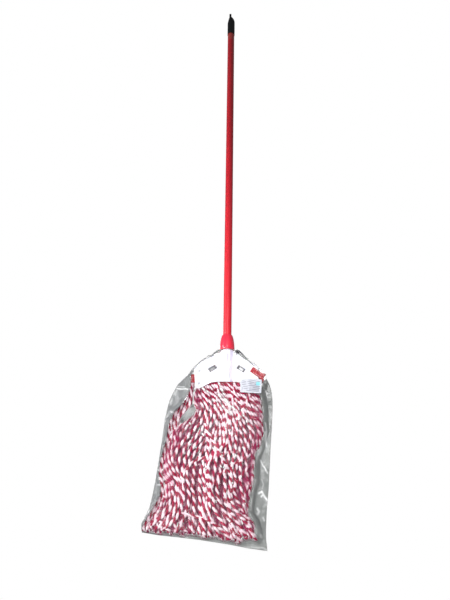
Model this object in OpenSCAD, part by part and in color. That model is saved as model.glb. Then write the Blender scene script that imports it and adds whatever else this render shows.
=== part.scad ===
// String mop with a coated tube handle, a clamped two-shell mop holder and a
// bagged two-ply yarn skirt.
// Millimetres, +Z up along the handle. The origin is the centre of the
// hanging hole in the end cap; everything else hangs below it. The front
// faces -Y, and left is -X.
// Except in the end cap, heights are measured up from the lower rim of the
// collar nut, and at() moves them into the frame.

/* [Handle] */
// Outside diameter of the coated tube
tube_od = 22; // [21.8:0.05:22.1]
// Length of the steel tube
tube_length = 1200; // [900:10:1500]
// Thickness of the steel wall
tube_wall = 0.6; // [0.4:0.1:0.9]
// Thickness of the plastic coating
coat_t = 0.28; // [0.2:0.02:0.4]
// Outside diameter of the end cap
cap_od = 24.3; // [24:0.1:26]
// How far the end cap reaches down over the tube
cap_grip = 39.5; // [20:0.5:40]
// Thickness of the hanging tab
tab_t = 7; // [5:0.5:8]
// Radius of the hanging hole
hang_r = 4.5; // [3:0.25:6]

/* [Collar] */
// Height of the collar nut
nut_h = 42.6; // [42.6:0.1:46]
// Largest radius of the collar nut
nut_r = 19.2; // [18.6:0.1:21]
// Thread pitch of the socket
pitch = 3; // [2:0.5:4]
// Radius of the thread crests
crest_r = 13.9; // [13.7:0.1:13.9]
// Number of slots in the collet
slots = 4; // [2:2:6]

/* [Holder] */
// Half width of the holder across its shoulders
fan_half = 83; // [83:1:86]
// Height of the holder's lowest corners, below the nut
fan_foot = -108; // [-109:0.5:-108]
// Depth of the holder at the neck, one shell
neck_depth = 13.8; // [13.6:0.1:14.4]
// Depth of the holder over the clamped band, one shell
face_depth = 12.5; // [12.3:0.1:12.7]
// Wall thickness of the shells
shell_wall = 2.2; // [1.8:0.1:2.6]
// Length of a window
window_w = 21; // [16:1:24]
// Height of a window
window_h = 10.5; // [7:0.5:12]
// Slope of a window, following the shoulder
window_tilt = 33; // [25:1:40]
// Distance of the screws from the middle
screw_x = 70; // [69:0.5:71]

/* [Yarn] */
// Thickness of one layer of yarn at the top
layer_t = 16; // [12:1:16]
// Thickness of one layer of yarn at the tips
tip_t = 6; // [4:1:6]
// Radius of the lock that has strayed from the skirt
lock_r = 5.5; // [4:0.5:6.5]

/* [Bag] */
// Thickness of the film
film_t = 0.6; // [0.4:0.1:0.8]
// Width of the label
label_w = 53; // [40:1:55]
// Height of the label
label_h = 37; // [25:1:38]

/* [Hidden] */
$fn = 96;

gap = 0.1;                              // general clearance between pieces
tube_r = tube_od / 2;
steel_r = tube_r - coat_t - 0.02;
tube_foot = 1.5;                        // lower end of the tube
hole_drop = 45.5;                       // hanging hole down to the tube's top
hole_height = tube_foot + tube_length + hole_drop;

// ---- Helpers ----

// Moves a shape from collar heights into the frame.
module at() { translate([0, 0, -hole_height]) children(); }

// A flat outline given as [x, height], made thick between two y values.
module slab(outline, y_low, y_high)
    translate([0, y_high, 0]) rotate([90, 0, 0])
        linear_extrude(y_high - y_low) polygon(outline);

// A side profile given as [y, height], made wide between two x values.
module bar(profile, x_low, x_high)
    translate([x_low, 0, 0]) rotate([90, 0, 90])
        linear_extrude(x_high - x_low) polygon(profile);

// A box centred on the Z axis, standing on the height foot.
module block(half_width, half_depth, foot, height)
    translate([-half_width, -half_depth, foot])
        cube([2 * half_width, 2 * half_depth, height]);

// Right half of an outline, closed with its own mirror image.
function both(half) = concat(half, [for (i = [len(half) - 1:-1:0])
    if (half[i][0] > 0) [-half[i][0], half[i][1]]]);

// Moves each edge of a clockwise outline inwards by a distance. The limit
// keeps sharp corners from running away.
function unit(vector) = vector / max(norm(vector), 1e-9);
function inset(outline, distance) = [for (i = [0:len(outline) - 1])
    let (count = len(outline),
         before = unit(outline[i] - outline[(i + count - 1) % count]),
         after = unit(outline[(i + 1) % count] - outline[i]),
         inward = unit([before[1] + after[1], -(before[0] + after[0])]))
        outline[i] + inward * distance
            / max(inward[0] * before[1] - inward[1] * before[0], 0.4)];

// ---- Handle ----

// A pipe as long as the tube.
module pipe(outer_r, wall)
    translate([0, 0, tube_foot]) difference() {
        cylinder(r = outer_r, h = tube_length);
        translate([0, 0, -1]) cylinder(r = outer_r - wall, h = tube_length + 2);
    }

module steel_tube() color("silver") at() pipe(steel_r, tube_wall);

module tube_coating() color([0.86, 0.22, 0.25]) at() pipe(tube_r, coat_t);

// Push-on cap. Its top narrows to a flat tab, set to the left, that is
// drilled through for a hook.
module end_cap() color([0.07, 0.07, 0.07]) {
    cap_r = cap_od / 2;
    cap_top = 13;
    cap_foot = -hole_drop - cap_grip;
    difference() {
        intersection() {
            translate([0, 0, cap_foot]) cylinder(r = cap_r, h = cap_top - cap_foot);
            // front view, narrowing to the tab
            slab([[-cap_r - 1, cap_foot], [-cap_r - 1, -36], [-cap_r, -32],
                  [-9.6, -20], [-tab_t + 0.5, -10], [-tab_t + 0.5, 4.6],
                  [-tab_t + 1.3, 8.5], [-tab_t + 2.6, 12],
                  [-tab_t / 2 + 0.5, cap_top], [-1.6, 12], [-0.3, 8.5],
                  [0.5, 4.6], [0.5, -7], [1.7, -9.5], [9.8, -18],
                  [cap_r, -24], [cap_r + 1, -28], [cap_r + 1, cap_foot]],
                 -cap_r - 1, cap_r + 1);
            // side view, with a round top
            union() {
                bar([[-cap_r - 1, cap_foot], [-cap_r - 1, -8], [-cap_r + 0.6, 0.5],
                     [cap_r - 0.6, 0.5], [cap_r + 1, -8], [cap_r + 1, cap_foot]],
                    -cap_r - 1, cap_r + 1);
                translate([-cap_r - 1, 0, 0]) rotate([0, 90, 0])
                    cylinder(r = cap_top, h = 2 * cap_r + 2);
            }
        }
        // socket for the tube, and the hollow above it
        translate([0, 0, cap_foot - 1])
            cylinder(r = tube_r + 0.06, h = cap_grip + 1.2);
        translate([0, 0, -hole_drop - 0.1]) cylinder(r = 9.4, h = 14);
        // hanging hole
        translate([-cap_r - 2, 0, 0]) rotate([0, 90, 0])
            cylinder(r = hang_r, h = 2 * cap_r + 4);
    }
}

// Bung in the lower end of the tube. It keeps water out and backs the thin
// wall where the collet grips.
module tube_end_plug() color([0.85, 0.85, 0.82]) at() difference() {
    union() {
        translate([0, 0, -0.7]) cylinder(r = steel_r, h = 2.1);
        translate([0, 0, 1]) cylinder(r = steel_r - tube_wall - 0.05, h = 24);
    }
    translate([0, 0, 3]) cylinder(r = 7.6, h = 30);
}

// ---- Collar ----

collet_top = 30;    // top of the socket
nut_shelf = 38;     // top of the nut's inner cone
root_r = 13.1;      // thread roots
groove_r = 10.5;    // groove under the socket's shoulder
flange_r = 12.3;
flange_top = -9.2;
flange_foot = -14.6;
tail_half = 8.5;    // half width of the square tail
tail_foot = -30;
tail_h = 16;

// One thread ridge, as [radius, height].
ridge = [[root_r, 0], [crest_r, 0.5], [crest_r, 1.1], [root_r, 1.6]];

// Conical nut that closes the collet on the tube.
module collar_nut() color([0.9, 0.25, 0.32]) at() rotate_extrude()
    polygon([[17.6, 0], [nut_r - 0.6, 0.8], [nut_r, 3], [nut_r, 9],
             [nut_r - 0.3, 13], [nut_r - 0.8, 20], [nut_r - 1.7, 27],
             [nut_r - 3, 34], [nut_r - 4.8, nut_h - 2.2],
             [nut_r - 5.6, nut_h - 0.6], [nut_r - 6.6, nut_h],
             [tube_r + 0.4, nut_h], [tube_r + 0.4, nut_shelf],
             [12.95, nut_shelf], [crest_r + gap, collet_top],
             [crest_r + gap, 1.2], [crest_r + 0.9, 0]]);

// Split ring that the nut squeezes on to the tube.
module grip_ring() color([0.92, 0.9, 0.84]) at() difference() {
    bore_r = tube_r + 0.12;
    foot = collet_top + 0.2;
    top = nut_shelf - 0.4;
    rotate_extrude()
        polygon([[bore_r, foot], [13.75, foot], [12.8, top], [bore_r, top]]);
    translate([0, -1.5, 29]) cube([20, 3, 10]);
}

// Socket with ridges for a thread outside, slotted above into a collet.
// Below its shoulder a groove, a flange and a square tail lock it in the
// shells.
module socket_stem() color([0.93, 0.93, 0.95]) at() difference() {
    union() {
        rotate_extrude() polygon(concat(
            [[0, flange_foot], [flange_r, flange_foot], [flange_r, flange_top],
             [groove_r, flange_top], [groove_r, -3], [crest_r, -3],
             [crest_r, 0.6], [root_r, 1.2]],
            [for (i = [1:6], point = ridge) point + [0, i * pitch]],
            [[root_r, collet_top - 0.6], [12.7, collet_top], [0, collet_top]]));
        block(tail_half, tail_half, tail_foot, tail_h);
    }
    translate([0, 0, -1]) cylinder(r = tube_r + 0.08, h = 40);
    // each cut makes two opposite slots
    for (i = [0:slots / 2 - 1])
        rotate([0, 0, i * 360 / slots]) block(20, 0.8, 12, 30);
}

// ---- Holder ----

parting = 0.025;            // inner face of each shell off the middle plane
screw_heights = [-62, -95];
screw_hole_r = 1.6;
band_top = -66.3;           // fold of the headband
band_foot = -90.6;          // lower edge of the headband
band_r = 6.2;               // outer radius of the headband's fold
band_slack = 0.3;           // room round the headband in the shell ends

// Outline of the holder as [x, height]: neck, sloping shoulders, square ends
// that drop lower than the middle. Runs clockwise from the neck.
fan = both([
    [14.2, -3], [15.5, -7], [19, -10.5], [28, -13], [43, -23.5],
    [57, -30], [69, -39], [fan_half - 3, -51], [fan_half, -56],
    [fan_half - 1, -70], [fan_half - 3, fan_foot + 7],
    [fan_half - 6, fan_foot + 2], [fan_half - 11, fan_foot],
    [62, fan_foot + 3], [50, fan_foot + 11], [38, -91], [22, -89.5],
    [0, -89]]);

// Depth of one shell, as [depth, height].
shell_depth = [[neck_depth, 0], [neck_depth, -30], [face_depth, -45],
               [face_depth, -120]];

// Puts a shape at each of the four screws, at the given y.
module at_screws(y)
    for (x = [-screw_x, screw_x], z = screw_heights)
        translate([x, y, z]) children();

// The hollow of the right wing of the holder. It runs out through the lower
// edge.
module wing_hollow() intersection() {
    slab([[13, -16.5], [24, -16.5], [42, -26.3], [56, -32.6], [67.5, -41],
          [fan_half - 5.5, -52.5], [fan_half - 2.4, -57.5],
          [fan_half - 3.4, -70], [fan_half - 5.2, fan_foot + 7],
          [fan_half - 8, fan_foot - 3], [-1, fan_foot - 3], [-1, -36],
          [13, -36]], -1, 20);
    bar(concat([[-2, 5], [neck_depth - shell_wall, 5]],
               [for (station = shell_depth) station - [shell_wall, 0.1]],
               [[-2, -120]]), -3, 100);
}

// One moulded half of the holder, drawn as the rear half.
module shell() difference() {
    union() {
        difference() {
            intersection() {
                slab(fan, parting, 20);
                bar(concat([[0, 5], [neck_depth, 5]], shell_depth, [[0, -120]]),
                    -100, 100);
            }
            wing_hollow();
            mirror([1, 0, 0]) wing_hollow();
        }
        // screw bosses
        at_screws(parting) rotate([-90, 0, 0])
            cylinder(r = 3.6, h = face_depth - 1.5);
    }
    // seat of the socket: groove, flange and square tail
    translate([0, 0, flange_top + gap]) cylinder(r = groove_r + gap, h = 20);
    translate([0, 0, flange_foot - gap])
        cylinder(r = flange_r + gap, h = flange_top - flange_foot + 2 * gap);
    block(tail_half + gap, tail_half + gap, tail_foot - gap, tail_h);
    // windows
    for (hand = [-1, 1]) translate([hand * 36.5, 0, -54])
        rotate([0, hand * window_tilt, 0])
            translate([-window_w / 2, 5, -window_h / 2])
                cube([window_w, 20, window_h]);
    // openings in the ends for the headband
    for (hand = [-1, 1])
        translate([hand * 84 - 9, -1, band_foot - band_slack])
            cube([18, 1 + band_r + band_slack,
                  band_top - band_foot + 2 * band_slack]);
    // blind screw holes
    at_screws(-1) rotate([-90, 0, 0])
        cylinder(r = screw_hole_r, h = face_depth - 1.5);
}

module rear_shell() color([0.95, 0.95, 0.96]) at() shell();

// The front half, with its screw holes carried right through.
module front_shell() color([0.97, 0.97, 0.98]) at() difference() {
    mirror([0, 1, 0]) shell();
    at_screws(1) rotate([90, 0, 0]) cylinder(r = screw_hole_r, h = 20);
}

// Galvanised plate that presses the headband. Its lower edge is toothed.
module clamp_plate() color([0.6, 0.61, 0.62]) at()
    slab(concat([[-60, -46], [-50, -37], [-24, -33], [-17.5, -40],
                 [-17.5, -52], [17.5, -52], [17.5, -40], [24, -33],
                 [50, -37], [60, -46], [60, -78]],
                [for (i = [0:23]) [57.5 - 5 * i, i % 2 == 0 ? -82 : -78]],
                [[-60, -78]]), -9.9, -8.7);

// Four pan-head screws with crossed slots, driven in from the front.
module shell_screws() color([0.55, 0.56, 0.58]) at()
    at_screws(0) rotate([-90, 0, 0]) difference() {
        union() {
            translate([0, 0, -face_depth - 0.05])
                cylinder(r = 1.5, h = face_depth + 8, $fn = 48);
            translate([0, 0, -face_depth - 1.9])
                cylinder(r = 3, h = 1.85, $fn = 48);
        }
        for (angle = [0, 90])
            rotate([0, 0, angle]) block(1.6, 0.4, -face_depth - 2.5, 1.5);
    }

// ---- Headband ----

tape_t = 1.2;
band_right = 90;            // right end of the folded tape
flap_y = face_depth + 2.1;  // turned-back end, its rear face in front of y = 0
stitch_t = 0.4;
stitch_h = 0.9;
stitch_lift = 0.05;         // stitches off the tape

// A half-round top over a straight block, running along x.
module fold(radius, foot, top, x_low, x_high) {
    translate([x_low, 0, top - radius]) rotate([0, 90, 0])
        cylinder(r = radius, h = x_high - x_low);
    translate([x_low, -radius, foot])
        cube([x_high - x_low, 2 * radius, top - radius - foot]);
}

// Woven tape folded over the strands. The left end sticks out of the holder,
// the right one is turned back over its front face.
module headband() color([0.78, 0.12, 0.16]) at() {
    difference() {
        fold(band_r, band_foot, band_top, -91, band_right);
        fold(band_r - tape_t, band_foot - 1, band_top - tape_t,
             -92, band_right + 1);
    }
    // link from the fold forward to the turned-back end
    translate([band_right - tape_t, -flap_y - tape_t, -83])
        cube([tape_t, flap_y + 1.5 * tape_t - band_r, 14]);
    slab([[58, -58], [64, -51.5], [72, -48], [92, -67], [96, -82],
          [86, -83], [67, -73]], -flap_y - tape_t, -flap_y);
}

// Rows of stitches on both faces of the tape, and along the turned-back end.
module headband_stitching() color([0.93, 0.9, 0.9]) at() {
    for (y = [band_r + stitch_lift, -band_r - stitch_lift - stitch_t],
         z = [-76, -85], i = [-5:5])
        translate([i * 12 - 3, y, z]) cube([6, stitch_t, stitch_h]);
    for (i = [0:3], row = [0, 1])
        translate([64.5 - 2 * row + 6.2 * i,
                   -flap_y - tape_t - stitch_lift - stitch_t,
                   -54.5 - 8.5 * row - 5.6 * i])
            rotate([0, 42, 0]) cube([4.4, stitch_t, stitch_h]);
}

// ---- Yarn ----

swing_height = -126;        // line the skirt swings about

// Outline shared by the two yarn layers, as [x, height], clockwise from the
// top left.
yarn_outline = [
    [-88, -106], [90, -106], [97, -120], [100, -158], [100, -183],
    [97, -221], [91, -258], [84, -294], [79, -330], [74, -365],
    [72, -387], [74, -410], [77, -432], [77, -456], [58, -461],
    [30, -466], [-10, -461], [-58, -456], [-125, -451], [-173, -446],
    [-179, -440], [-176, -424], [-171, -402], [-166, -379], [-161, -350],
    [-158, -321], [-153, -298], [-146, -273], [-140, -237], [-135, -216],
    [-122, -206], [-97, -198], [-82, -178], [-78, -158], [-83, -130]];

// Middle line of the stray lock, as [x, height], from the top down.
stray_line = [[-96, -112], [-106, -133], [-119, -153], [-129, -172],
              [-135, -188], [-138, -202]];

// Strands where they pass through the headband and leave the holder.
module yarn_core() color([0.8, 0.3, 0.42]) at() {
    core_r = band_r - tape_t - 0.2;
    fold(core_r, band_foot + 0.2, band_top - tape_t - 0.3, -84, 84);
    block(63, core_r, -93, 5);
    block(63, 8.5, -108, 16.8);
}

// The rear layer of the skirt. Its head is a quarter round about the swing
// line.
module yarn_layer() intersection() {
    slab(yarn_outline, 0.15, layer_t + 1);
    union() {
        translate([-250, 0, swing_height]) rotate([0, 90, 0])
            cylinder(r = layer_t, h = 500);
        bar([[-1, swing_height], [layer_t, swing_height], [layer_t, -370],
             [tip_t + 2, -440], [tip_t - 1, -475], [-1, -475]], -250, 250);
    }
}

module yarn_front() color([0.85, 0.35, 0.5]) at()
    mirror([0, 1, 0]) yarn_layer();

module yarn_rear() color([0.8, 0.28, 0.45]) at() yarn_layer();

// A lock of strands that has slipped out to the left of the skirt.
module yarn_stray_lock() color([0.88, 0.4, 0.52]) at() {
    offset_right = [lock_r, 1];
    slab(concat([for (point = stray_line) point + offset_right],
                [for (i = [len(stray_line) - 1:-1:0])
                    stray_line[i] - offset_right]), -lock_r, lock_r);
}

// ---- Bag ----

mouth_half = 18;            // half width of the bag at the neck
mouth_depth = 17;           // half depth of the bag at the neck
tie_knot = [28, -19.5, -1.2];

// Outline of the bag as [x, height], clockwise from the left of the neck.
bag_outline = [
    [-mouth_half, -2.5], [mouth_half, -2.5], [28, -3.5], [43, -12],
    [60, -25], [75, -40], [99, -66], [107, -88], [114, -108],
    [116.5, -132], [116, -158], [113, -209], [109, -258], [106, -306],
    [103, -353], [98, -398], [95, -443], [95, -464], [98, -488],
    [56, -484.5], [8, -476], [-58, -466.5], [-154, -457.5],
    [-190, -452.5], [-187.5, -441], [-184, -424], [-178, -397],
    [-173, -368], [-168, -333], [-162, -298], [-159, -261], [-156, -225],
    [-153, -187], [-149, -161], [-144, -137], [-136, -117], [-125, -94],
    [-104, -71], [-81, -44], [-54, -22], [-38, -11]];

// The bag from above the neck to the sealed hem, as [half depth, height].
bag_depth = [
    [mouth_depth, 6], [mouth_depth, 0], [mouth_depth, -40], [19, -58],
    [19, -128], [24, -200], [23, -330], [20, -410], [14, -445], [9, -460],
    [5, -475], [1.6, -489]];

// The bag's form, its outline and its depth shrunk by a distance.
module bag_form(shrink) intersection() {
    slab(inset(bag_outline, shrink), -30, 30);
    bar(concat([for (station = bag_depth) [shrink - station[0], station[1]]],
               [for (i = [len(bag_depth) - 1:-1:0])
                   [bag_depth[i][0] - shrink, bag_depth[i][1]]]), -250, 250);
}

// Places a shape on the bunched film, which leans to the right of the neck.
module at_bunch() translate([25, 0, -6]) rotate([0, 20, 0]) children();

// Film bag, open round the neck. The spare film of its mouth is bunched up
// beside the neck.
module poly_bag() color([0.75, 0.78, 0.76, 0.4]) at() {
    difference() {
        bag_form(0);
        bag_form(film_t);
        block(mouth_half - film_t, mouth_depth - film_t, -10, 20);
    }
    at_bunch() {
        cylinder(r = 3, h = 6.6);
        translate([0, 0, 6.5]) cylinder(r1 = 3, r2 = 5.5, h = 4.5);
    }
}

// A straight round wire between two points, with a ball at its far end.
module wire(start, end, radius) {
    run = end - start;
    length = norm(run);
    translate(start) rotate([0, acos(run[2] / length), atan2(run[1], run[0])])
        cylinder(r = radius, h = length, $fn = 32);
    translate(end) sphere(r = radius * 1.3, $fn = 32);
}

// Twist tie round the bunched film, its two tails turned down in front.
module neck_tie() color([0.16, 0.1, 0.2]) at() {
    at_bunch() translate([0, 0, 5.3])
        rotate_extrude() translate([4.3, 0]) circle(r = 1.1, $fn = 32);
    wire([27, -4.6, -0.8], tie_knot, 0.8);
    for (tail_end = [[24, -19.4, -19], [32, -19.4, -15]])
        wire(tie_knot, tail_end, 0.8);
}

// Small blank label on the front of the bag.
module bag_label() color([0.9, 0.93, 0.95]) at()
    translate([61, -19.75, -102]) rotate([0, 3, 0])
        translate([-label_w / 2, 0, -label_h / 2])
            cube([label_w, 0.3, label_h]);

steel_tube();
tube_coating();
end_cap();
tube_end_plug();
collar_nut();
grip_ring();
socket_stem();
front_shell();
rear_shell();
clamp_plate();
shell_screws();
headband();
headband_stitching();
yarn_core();
yarn_front();
yarn_rear();
yarn_stray_lock();
poly_bag();
neck_tie();
bag_label();
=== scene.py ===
# A string mop in a clear bag. The tube stands along +Z above a red collar nut; the white holder,
# the red headband and the yarn skirt hang below it. X runs across the mop and the front faces -Y.
# Lengths are millimetres and heights are measured from the collar nut's lower rim, unless a
# comment says metres. Materials and lights work in metres. A "depth" is a height with its sign turned.
import math
import bpy
import bmesh
import numpy as np
from mathutils import Vector, Matrix

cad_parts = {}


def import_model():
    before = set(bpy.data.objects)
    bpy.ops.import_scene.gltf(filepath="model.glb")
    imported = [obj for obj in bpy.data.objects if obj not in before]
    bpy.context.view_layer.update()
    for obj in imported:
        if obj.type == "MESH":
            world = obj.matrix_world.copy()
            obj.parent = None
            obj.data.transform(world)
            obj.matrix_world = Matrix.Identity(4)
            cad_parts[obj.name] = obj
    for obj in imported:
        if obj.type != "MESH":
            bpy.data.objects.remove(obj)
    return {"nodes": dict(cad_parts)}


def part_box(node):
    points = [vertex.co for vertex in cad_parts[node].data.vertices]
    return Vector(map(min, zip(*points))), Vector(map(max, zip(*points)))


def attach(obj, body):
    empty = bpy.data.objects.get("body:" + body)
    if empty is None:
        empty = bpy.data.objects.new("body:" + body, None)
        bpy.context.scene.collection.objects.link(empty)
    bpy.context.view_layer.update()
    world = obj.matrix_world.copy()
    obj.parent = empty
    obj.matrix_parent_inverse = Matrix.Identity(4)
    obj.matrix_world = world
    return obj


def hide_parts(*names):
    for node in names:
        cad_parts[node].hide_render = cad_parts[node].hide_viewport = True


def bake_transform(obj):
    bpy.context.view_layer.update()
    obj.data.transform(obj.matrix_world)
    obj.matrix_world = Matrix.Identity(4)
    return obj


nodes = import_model()["nodes"]
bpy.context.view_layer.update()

MM = 0.001
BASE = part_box("collar_nut")[0].z  # metres: the collar nut's lower rim

EYE = (3.0, -1569.6, -648.7)  # the camera

# the slanted windows in the holder, mirrored left and right
WINDOW_X = 36.5
WINDOW_HEIGHT = -54
WINDOW_TILT = 33  # degrees


# ------------------------------------------------------------------ helpers
def point(x, y, height):
    """One place in millimetres to metres in the row frame."""
    return Vector((x * MM, y * MM, BASE + height * MM))


def to_world(points):
    """Rows of x, y, height in millimetres to metres in the row frame."""
    points = np.asarray(points, float) * MM
    points[..., 2] += BASE
    return points


def ease(x, start, end):
    """0 at start, 1 at end, smooth between."""
    share = np.clip((np.asarray(x, float) - start) / (end - start), 0, 1)
    return share * share * (3 - 2 * share)


def profile(height, depths, values):
    """Read a table of values against depth."""
    return np.interp(-height, depths, values)


def unit(vectors):
    return vectors / np.linalg.norm(vectors, axis=-1, keepdims=True)


def running_length(points):
    steps = np.linalg.norm(np.diff(points, axis=0), axis=1)
    return np.concatenate([[0], np.cumsum(steps)])


def relax(rows, rounds):
    """Smooth along the first axis in place, with both ends held."""
    for _ in range(rounds):
        rows[1:-1] = (rows[:-2] + 2 * rows[1:-1] + rows[2:]) / 4


def eased_path(points, count, rounds):
    """A control polygon resampled to count points, with its corners smoothed."""
    points = np.array(points, float)
    given = np.linspace(0, 1, len(points))
    wanted = np.linspace(0, 1, count)
    path = np.stack([np.interp(wanted, given, column) for column in points.T], axis=1)
    relax(path, rounds)
    return path


def bilinear(grid, row, column, down, across):
    """Grid values a share down and across from the given cell."""
    upper = grid[row, column] * (1 - across) + grid[row, column + 1] * across
    lower = grid[row + 1, column] * (1 - across) + grid[row + 1, column + 1] * across
    return upper * (1 - down) + lower * down


def random_field(seed, columns, rows):
    """A smooth random field over 0..1 by 0..1, values -1..1."""
    grid = np.random.default_rng(seed).uniform(-1, 1, (rows + 3, columns + 3))

    def field(u, v):
        x, y = np.clip(u, 0, 1) * columns, np.clip(v, 0, 1) * rows
        i, j = np.floor(x).astype(int), np.floor(y).astype(int)
        return bilinear(grid, j, i, ease(y - j, 0, 1), ease(x - i, 0, 1))

    return field


# ---------------------------------------------------------------- materials
class Shader:
    """A node tree. Its methods add a node and return the output in use; inputs take a value
    or another node's output."""

    def __init__(self, data, output="OutputMaterial"):
        self.data = data
        data.use_nodes = True
        self.tree = data.node_tree
        self.tree.nodes.clear()
        self.output = self.node(output).inputs[0]

    def node(self, kind, inputs=(), **settings):
        made = self.tree.nodes.new("ShaderNode" + kind)
        for key, value in settings.items():
            setattr(made, key, value)
        for key, value in dict(inputs).items():
            self.feed(value, made.inputs[key])
        return made

    def feed(self, value, socket):
        if isinstance(value, bpy.types.NodeSocket):
            self.tree.links.new(value, socket)
        elif socket.type == "RGBA" and len(value) == 3:
            socket.default_value = (*value, 1)
        else:
            socket.default_value = value

    def coords(self, scale=(1, 1, 1)):
        place = self.node("TexCoord").outputs["Object"]
        return self.node("Mapping", {"Vector": place, "Scale": scale}).outputs[0]

    def position(self):
        """x, y and z in metres."""
        place = self.node("TexCoord").outputs["Object"]
        return self.node("SeparateXYZ", {0: place}).outputs

    def attribute(self, name, output="Fac"):
        return self.node("Attribute", attribute_name=name).outputs[output]

    def uv(self):
        return self.node("UVMap", uv_map="uv").outputs[0]

    def noise(self, vector, scale, detail=4, roughness=0.55, distortion=0.0):
        inputs = {"Vector": vector, "Scale": scale, "Detail": detail,
                  "Roughness": roughness, "Distortion": distortion}
        return self.node("TexNoise", inputs).outputs[0]

    def ramp(self, source, *stops):
        """Stops are a position and a colour or a grey."""
        made = self.node("ValToRGB", {"Fac": source})
        elements = made.color_ramp.elements
        while len(elements) < len(stops):
            elements.new(0.5)
        for element, (position, colour) in zip(elements, stops):
            element.position = position
            element.color = (*(colour if isinstance(colour, tuple) else (colour,) * 3), 1)
        return made.outputs[0]

    def mix(self, factor, first, second):
        return self.node("Mix", {0: factor, 6: first, 7: second}, data_type="RGBA").outputs[2]

    def math(self, operation, *values):
        return self.node("Math", enumerate(values), operation=operation).outputs[0]

    def within(self, value, low, high):
        """1 between two bounds, else 0."""
        return self.math("MULTIPLY", self.math("GREATER_THAN", value, low),
                         self.math("LESS_THAN", value, high))

    def bump(self, height, strength, distance, under=None):
        inputs = {"Height": height, "Strength": strength, "Distance": distance}
        if under is not None:
            inputs["Normal"] = under
        return self.node("Bump", inputs).outputs[0]


class Principled(Shader):
    def __init__(self, name):
        super().__init__(bpy.data.materials.new(name))
        self.bsdf = self.node("BsdfPrincipled")
        self.feed(self.bsdf.outputs[0], self.output)

    def set(self, **values):
        for key, value in values.items():
            self.feed(value, self.bsdf.inputs[key.replace("_", " ")])

    def base_colour(self):
        return self.bsdf.inputs["Base Color"].links[0].from_socket


def srgb(*channels):
    """8-bit display colour to linear."""
    shares = [channel / 255 for channel in channels]
    return tuple(v / 12.92 if v <= 0.04045 else ((v + 0.055) / 1.055) ** 2.4 for v in shares)


def tone(colour, gain, lift=0):
    return tuple(min(1, channel * gain + lift) for channel in colour)


def plastic(name, colour, roughness, variation=0.06, coat=0.0, relief=0.15, scuff=0.25,
            scuff_scale=(1, 1, 1), subsurface=0.0):
    """Moulded or coated plastic: soft colour variation, orange peel and scuffs."""
    m = Principled(name)
    place = m.coords()
    body = m.ramp(m.noise(place, scale=14, detail=3),
                  (0.3, tone(colour, 1 - variation)), (0.7, tone(colour, 1 + variation)))
    wear = m.noise(m.coords(scuff_scale), scale=60, detail=6, roughness=0.7)
    worn = m.ramp(wear, (0.56, 0), (0.75, 1))
    m.set(Base_Color=m.mix(m.math("MULTIPLY", worn, scuff), body, tone(colour, 0.75, 0.22)),
          Roughness=m.ramp(wear, (0.3, roughness), (0.8, min(1, roughness + 0.22))))
    grain = m.noise(place, scale=900, detail=3)
    peel = m.bump(m.noise(place, scale=160, detail=2), strength=relief, distance=0.0006)
    m.set(Normal=m.bump(grain, strength=relief * 0.8, distance=0.0002, under=peel),
          Coat_Weight=coat, Coat_Roughness=0.12)
    if subsurface:
        m.set(Subsurface_Weight=subsurface, Subsurface_Scale=0.004)
    return m


def brushed_metal(name, colour, roughness):
    m = Principled(name)
    lines = m.noise(m.coords((1, 1, 0.06)), scale=700)
    m.set(Base_Color=m.ramp(lines, (0.1, tone(colour, 0.78)), (0.9, colour)))
    smears = m.noise(m.coords(), scale=120, detail=5)
    m.set(Roughness=m.ramp(smears, (0.3, roughness), (0.75, roughness + 0.2)), Metallic=0.9,
          Normal=m.bump(smears, strength=0.15, distance=0.0003))
    return m


def yarn(name, base, dark, tint):
    """Cotton ply: fibres wound round it, painted shade where it lies sunk among other strands, fuzz in
    the sheen.
    """
    # colour of the painted shade in the gaps and on the hidden sides of strands
    painted_shade_colour = (0.27, 0.006, 0.075)
    m = Principled(name)
    ply_uv = m.attribute("ply_uv", "Vector")  # x along, y round, z one value per strand
    winding = m.node("Mapping", {"Vector": ply_uv, "Scale": (320, 5.5, 11)}).outputs[0]
    fibres = m.noise(winding, scale=1.0, detail=5, roughness=0.65, distortion=0.4)
    blotches = m.noise(m.coords(), scale=38, detail=3)
    strand = m.node("SeparateXYZ", {0: ply_uv}).outputs[2]
    dyed = m.ramp(strand, (0.0, tone(base, 0.9)), (0.5, base), (1.0, tint))
    fibrous = m.mix(m.ramp(fibres, (0.30, 1), (0.55, 0)), dyed, dark)
    blotched = m.mix(0.22, fibrous, m.ramp(blotches, (0.35, dark), (0.6, base)))
    wound = m.bump(fibres, strength=0.6, distance=0.0006)
    fuzz = m.noise(m.coords(), scale=1500, detail=2)
    m.set(Base_Color=m.mix(m.attribute("painted_shade"), blotched, painted_shade_colour),
          Roughness=0.95, Sheen_Weight=0.2, Sheen_Roughness=0.5, Specular_IOR_Level=0.15,
          Normal=m.bump(fuzz, strength=0.3, distance=0.0004, under=wound))
    return m


def woven_tape(name, colour):
    """Close woven tape: ribs across, warp threads along."""
    m = Principled(name)
    uv = m.uv()
    waves = [m.node("TexWave", {"Vector": uv, "Scale": scale, "Distortion": distortion},
                    bands_direction=direction).outputs[1]
             for direction, scale, distortion in (("X", 340, 1.2), ("Y", 260, 0.8))]
    weave = m.math("MULTIPLY", *waves)
    dye = m.ramp(m.noise(m.coords(), scale=60, detail=5),
                 (0.3, tone(colour, 0.72)), (0.55, colour), (0.8, tone(colour, 1.12, 0.02)))
    gaps = m.ramp(weave, (0.0, 1), (0.5, 0))
    m.set(Base_Color=m.mix(gaps, dye, tone(colour, 0.5)), Roughness=0.85, Sheen_Weight=0.25,
          Normal=m.bump(weave, strength=0.6, distance=0.0006))
    return m


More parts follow.
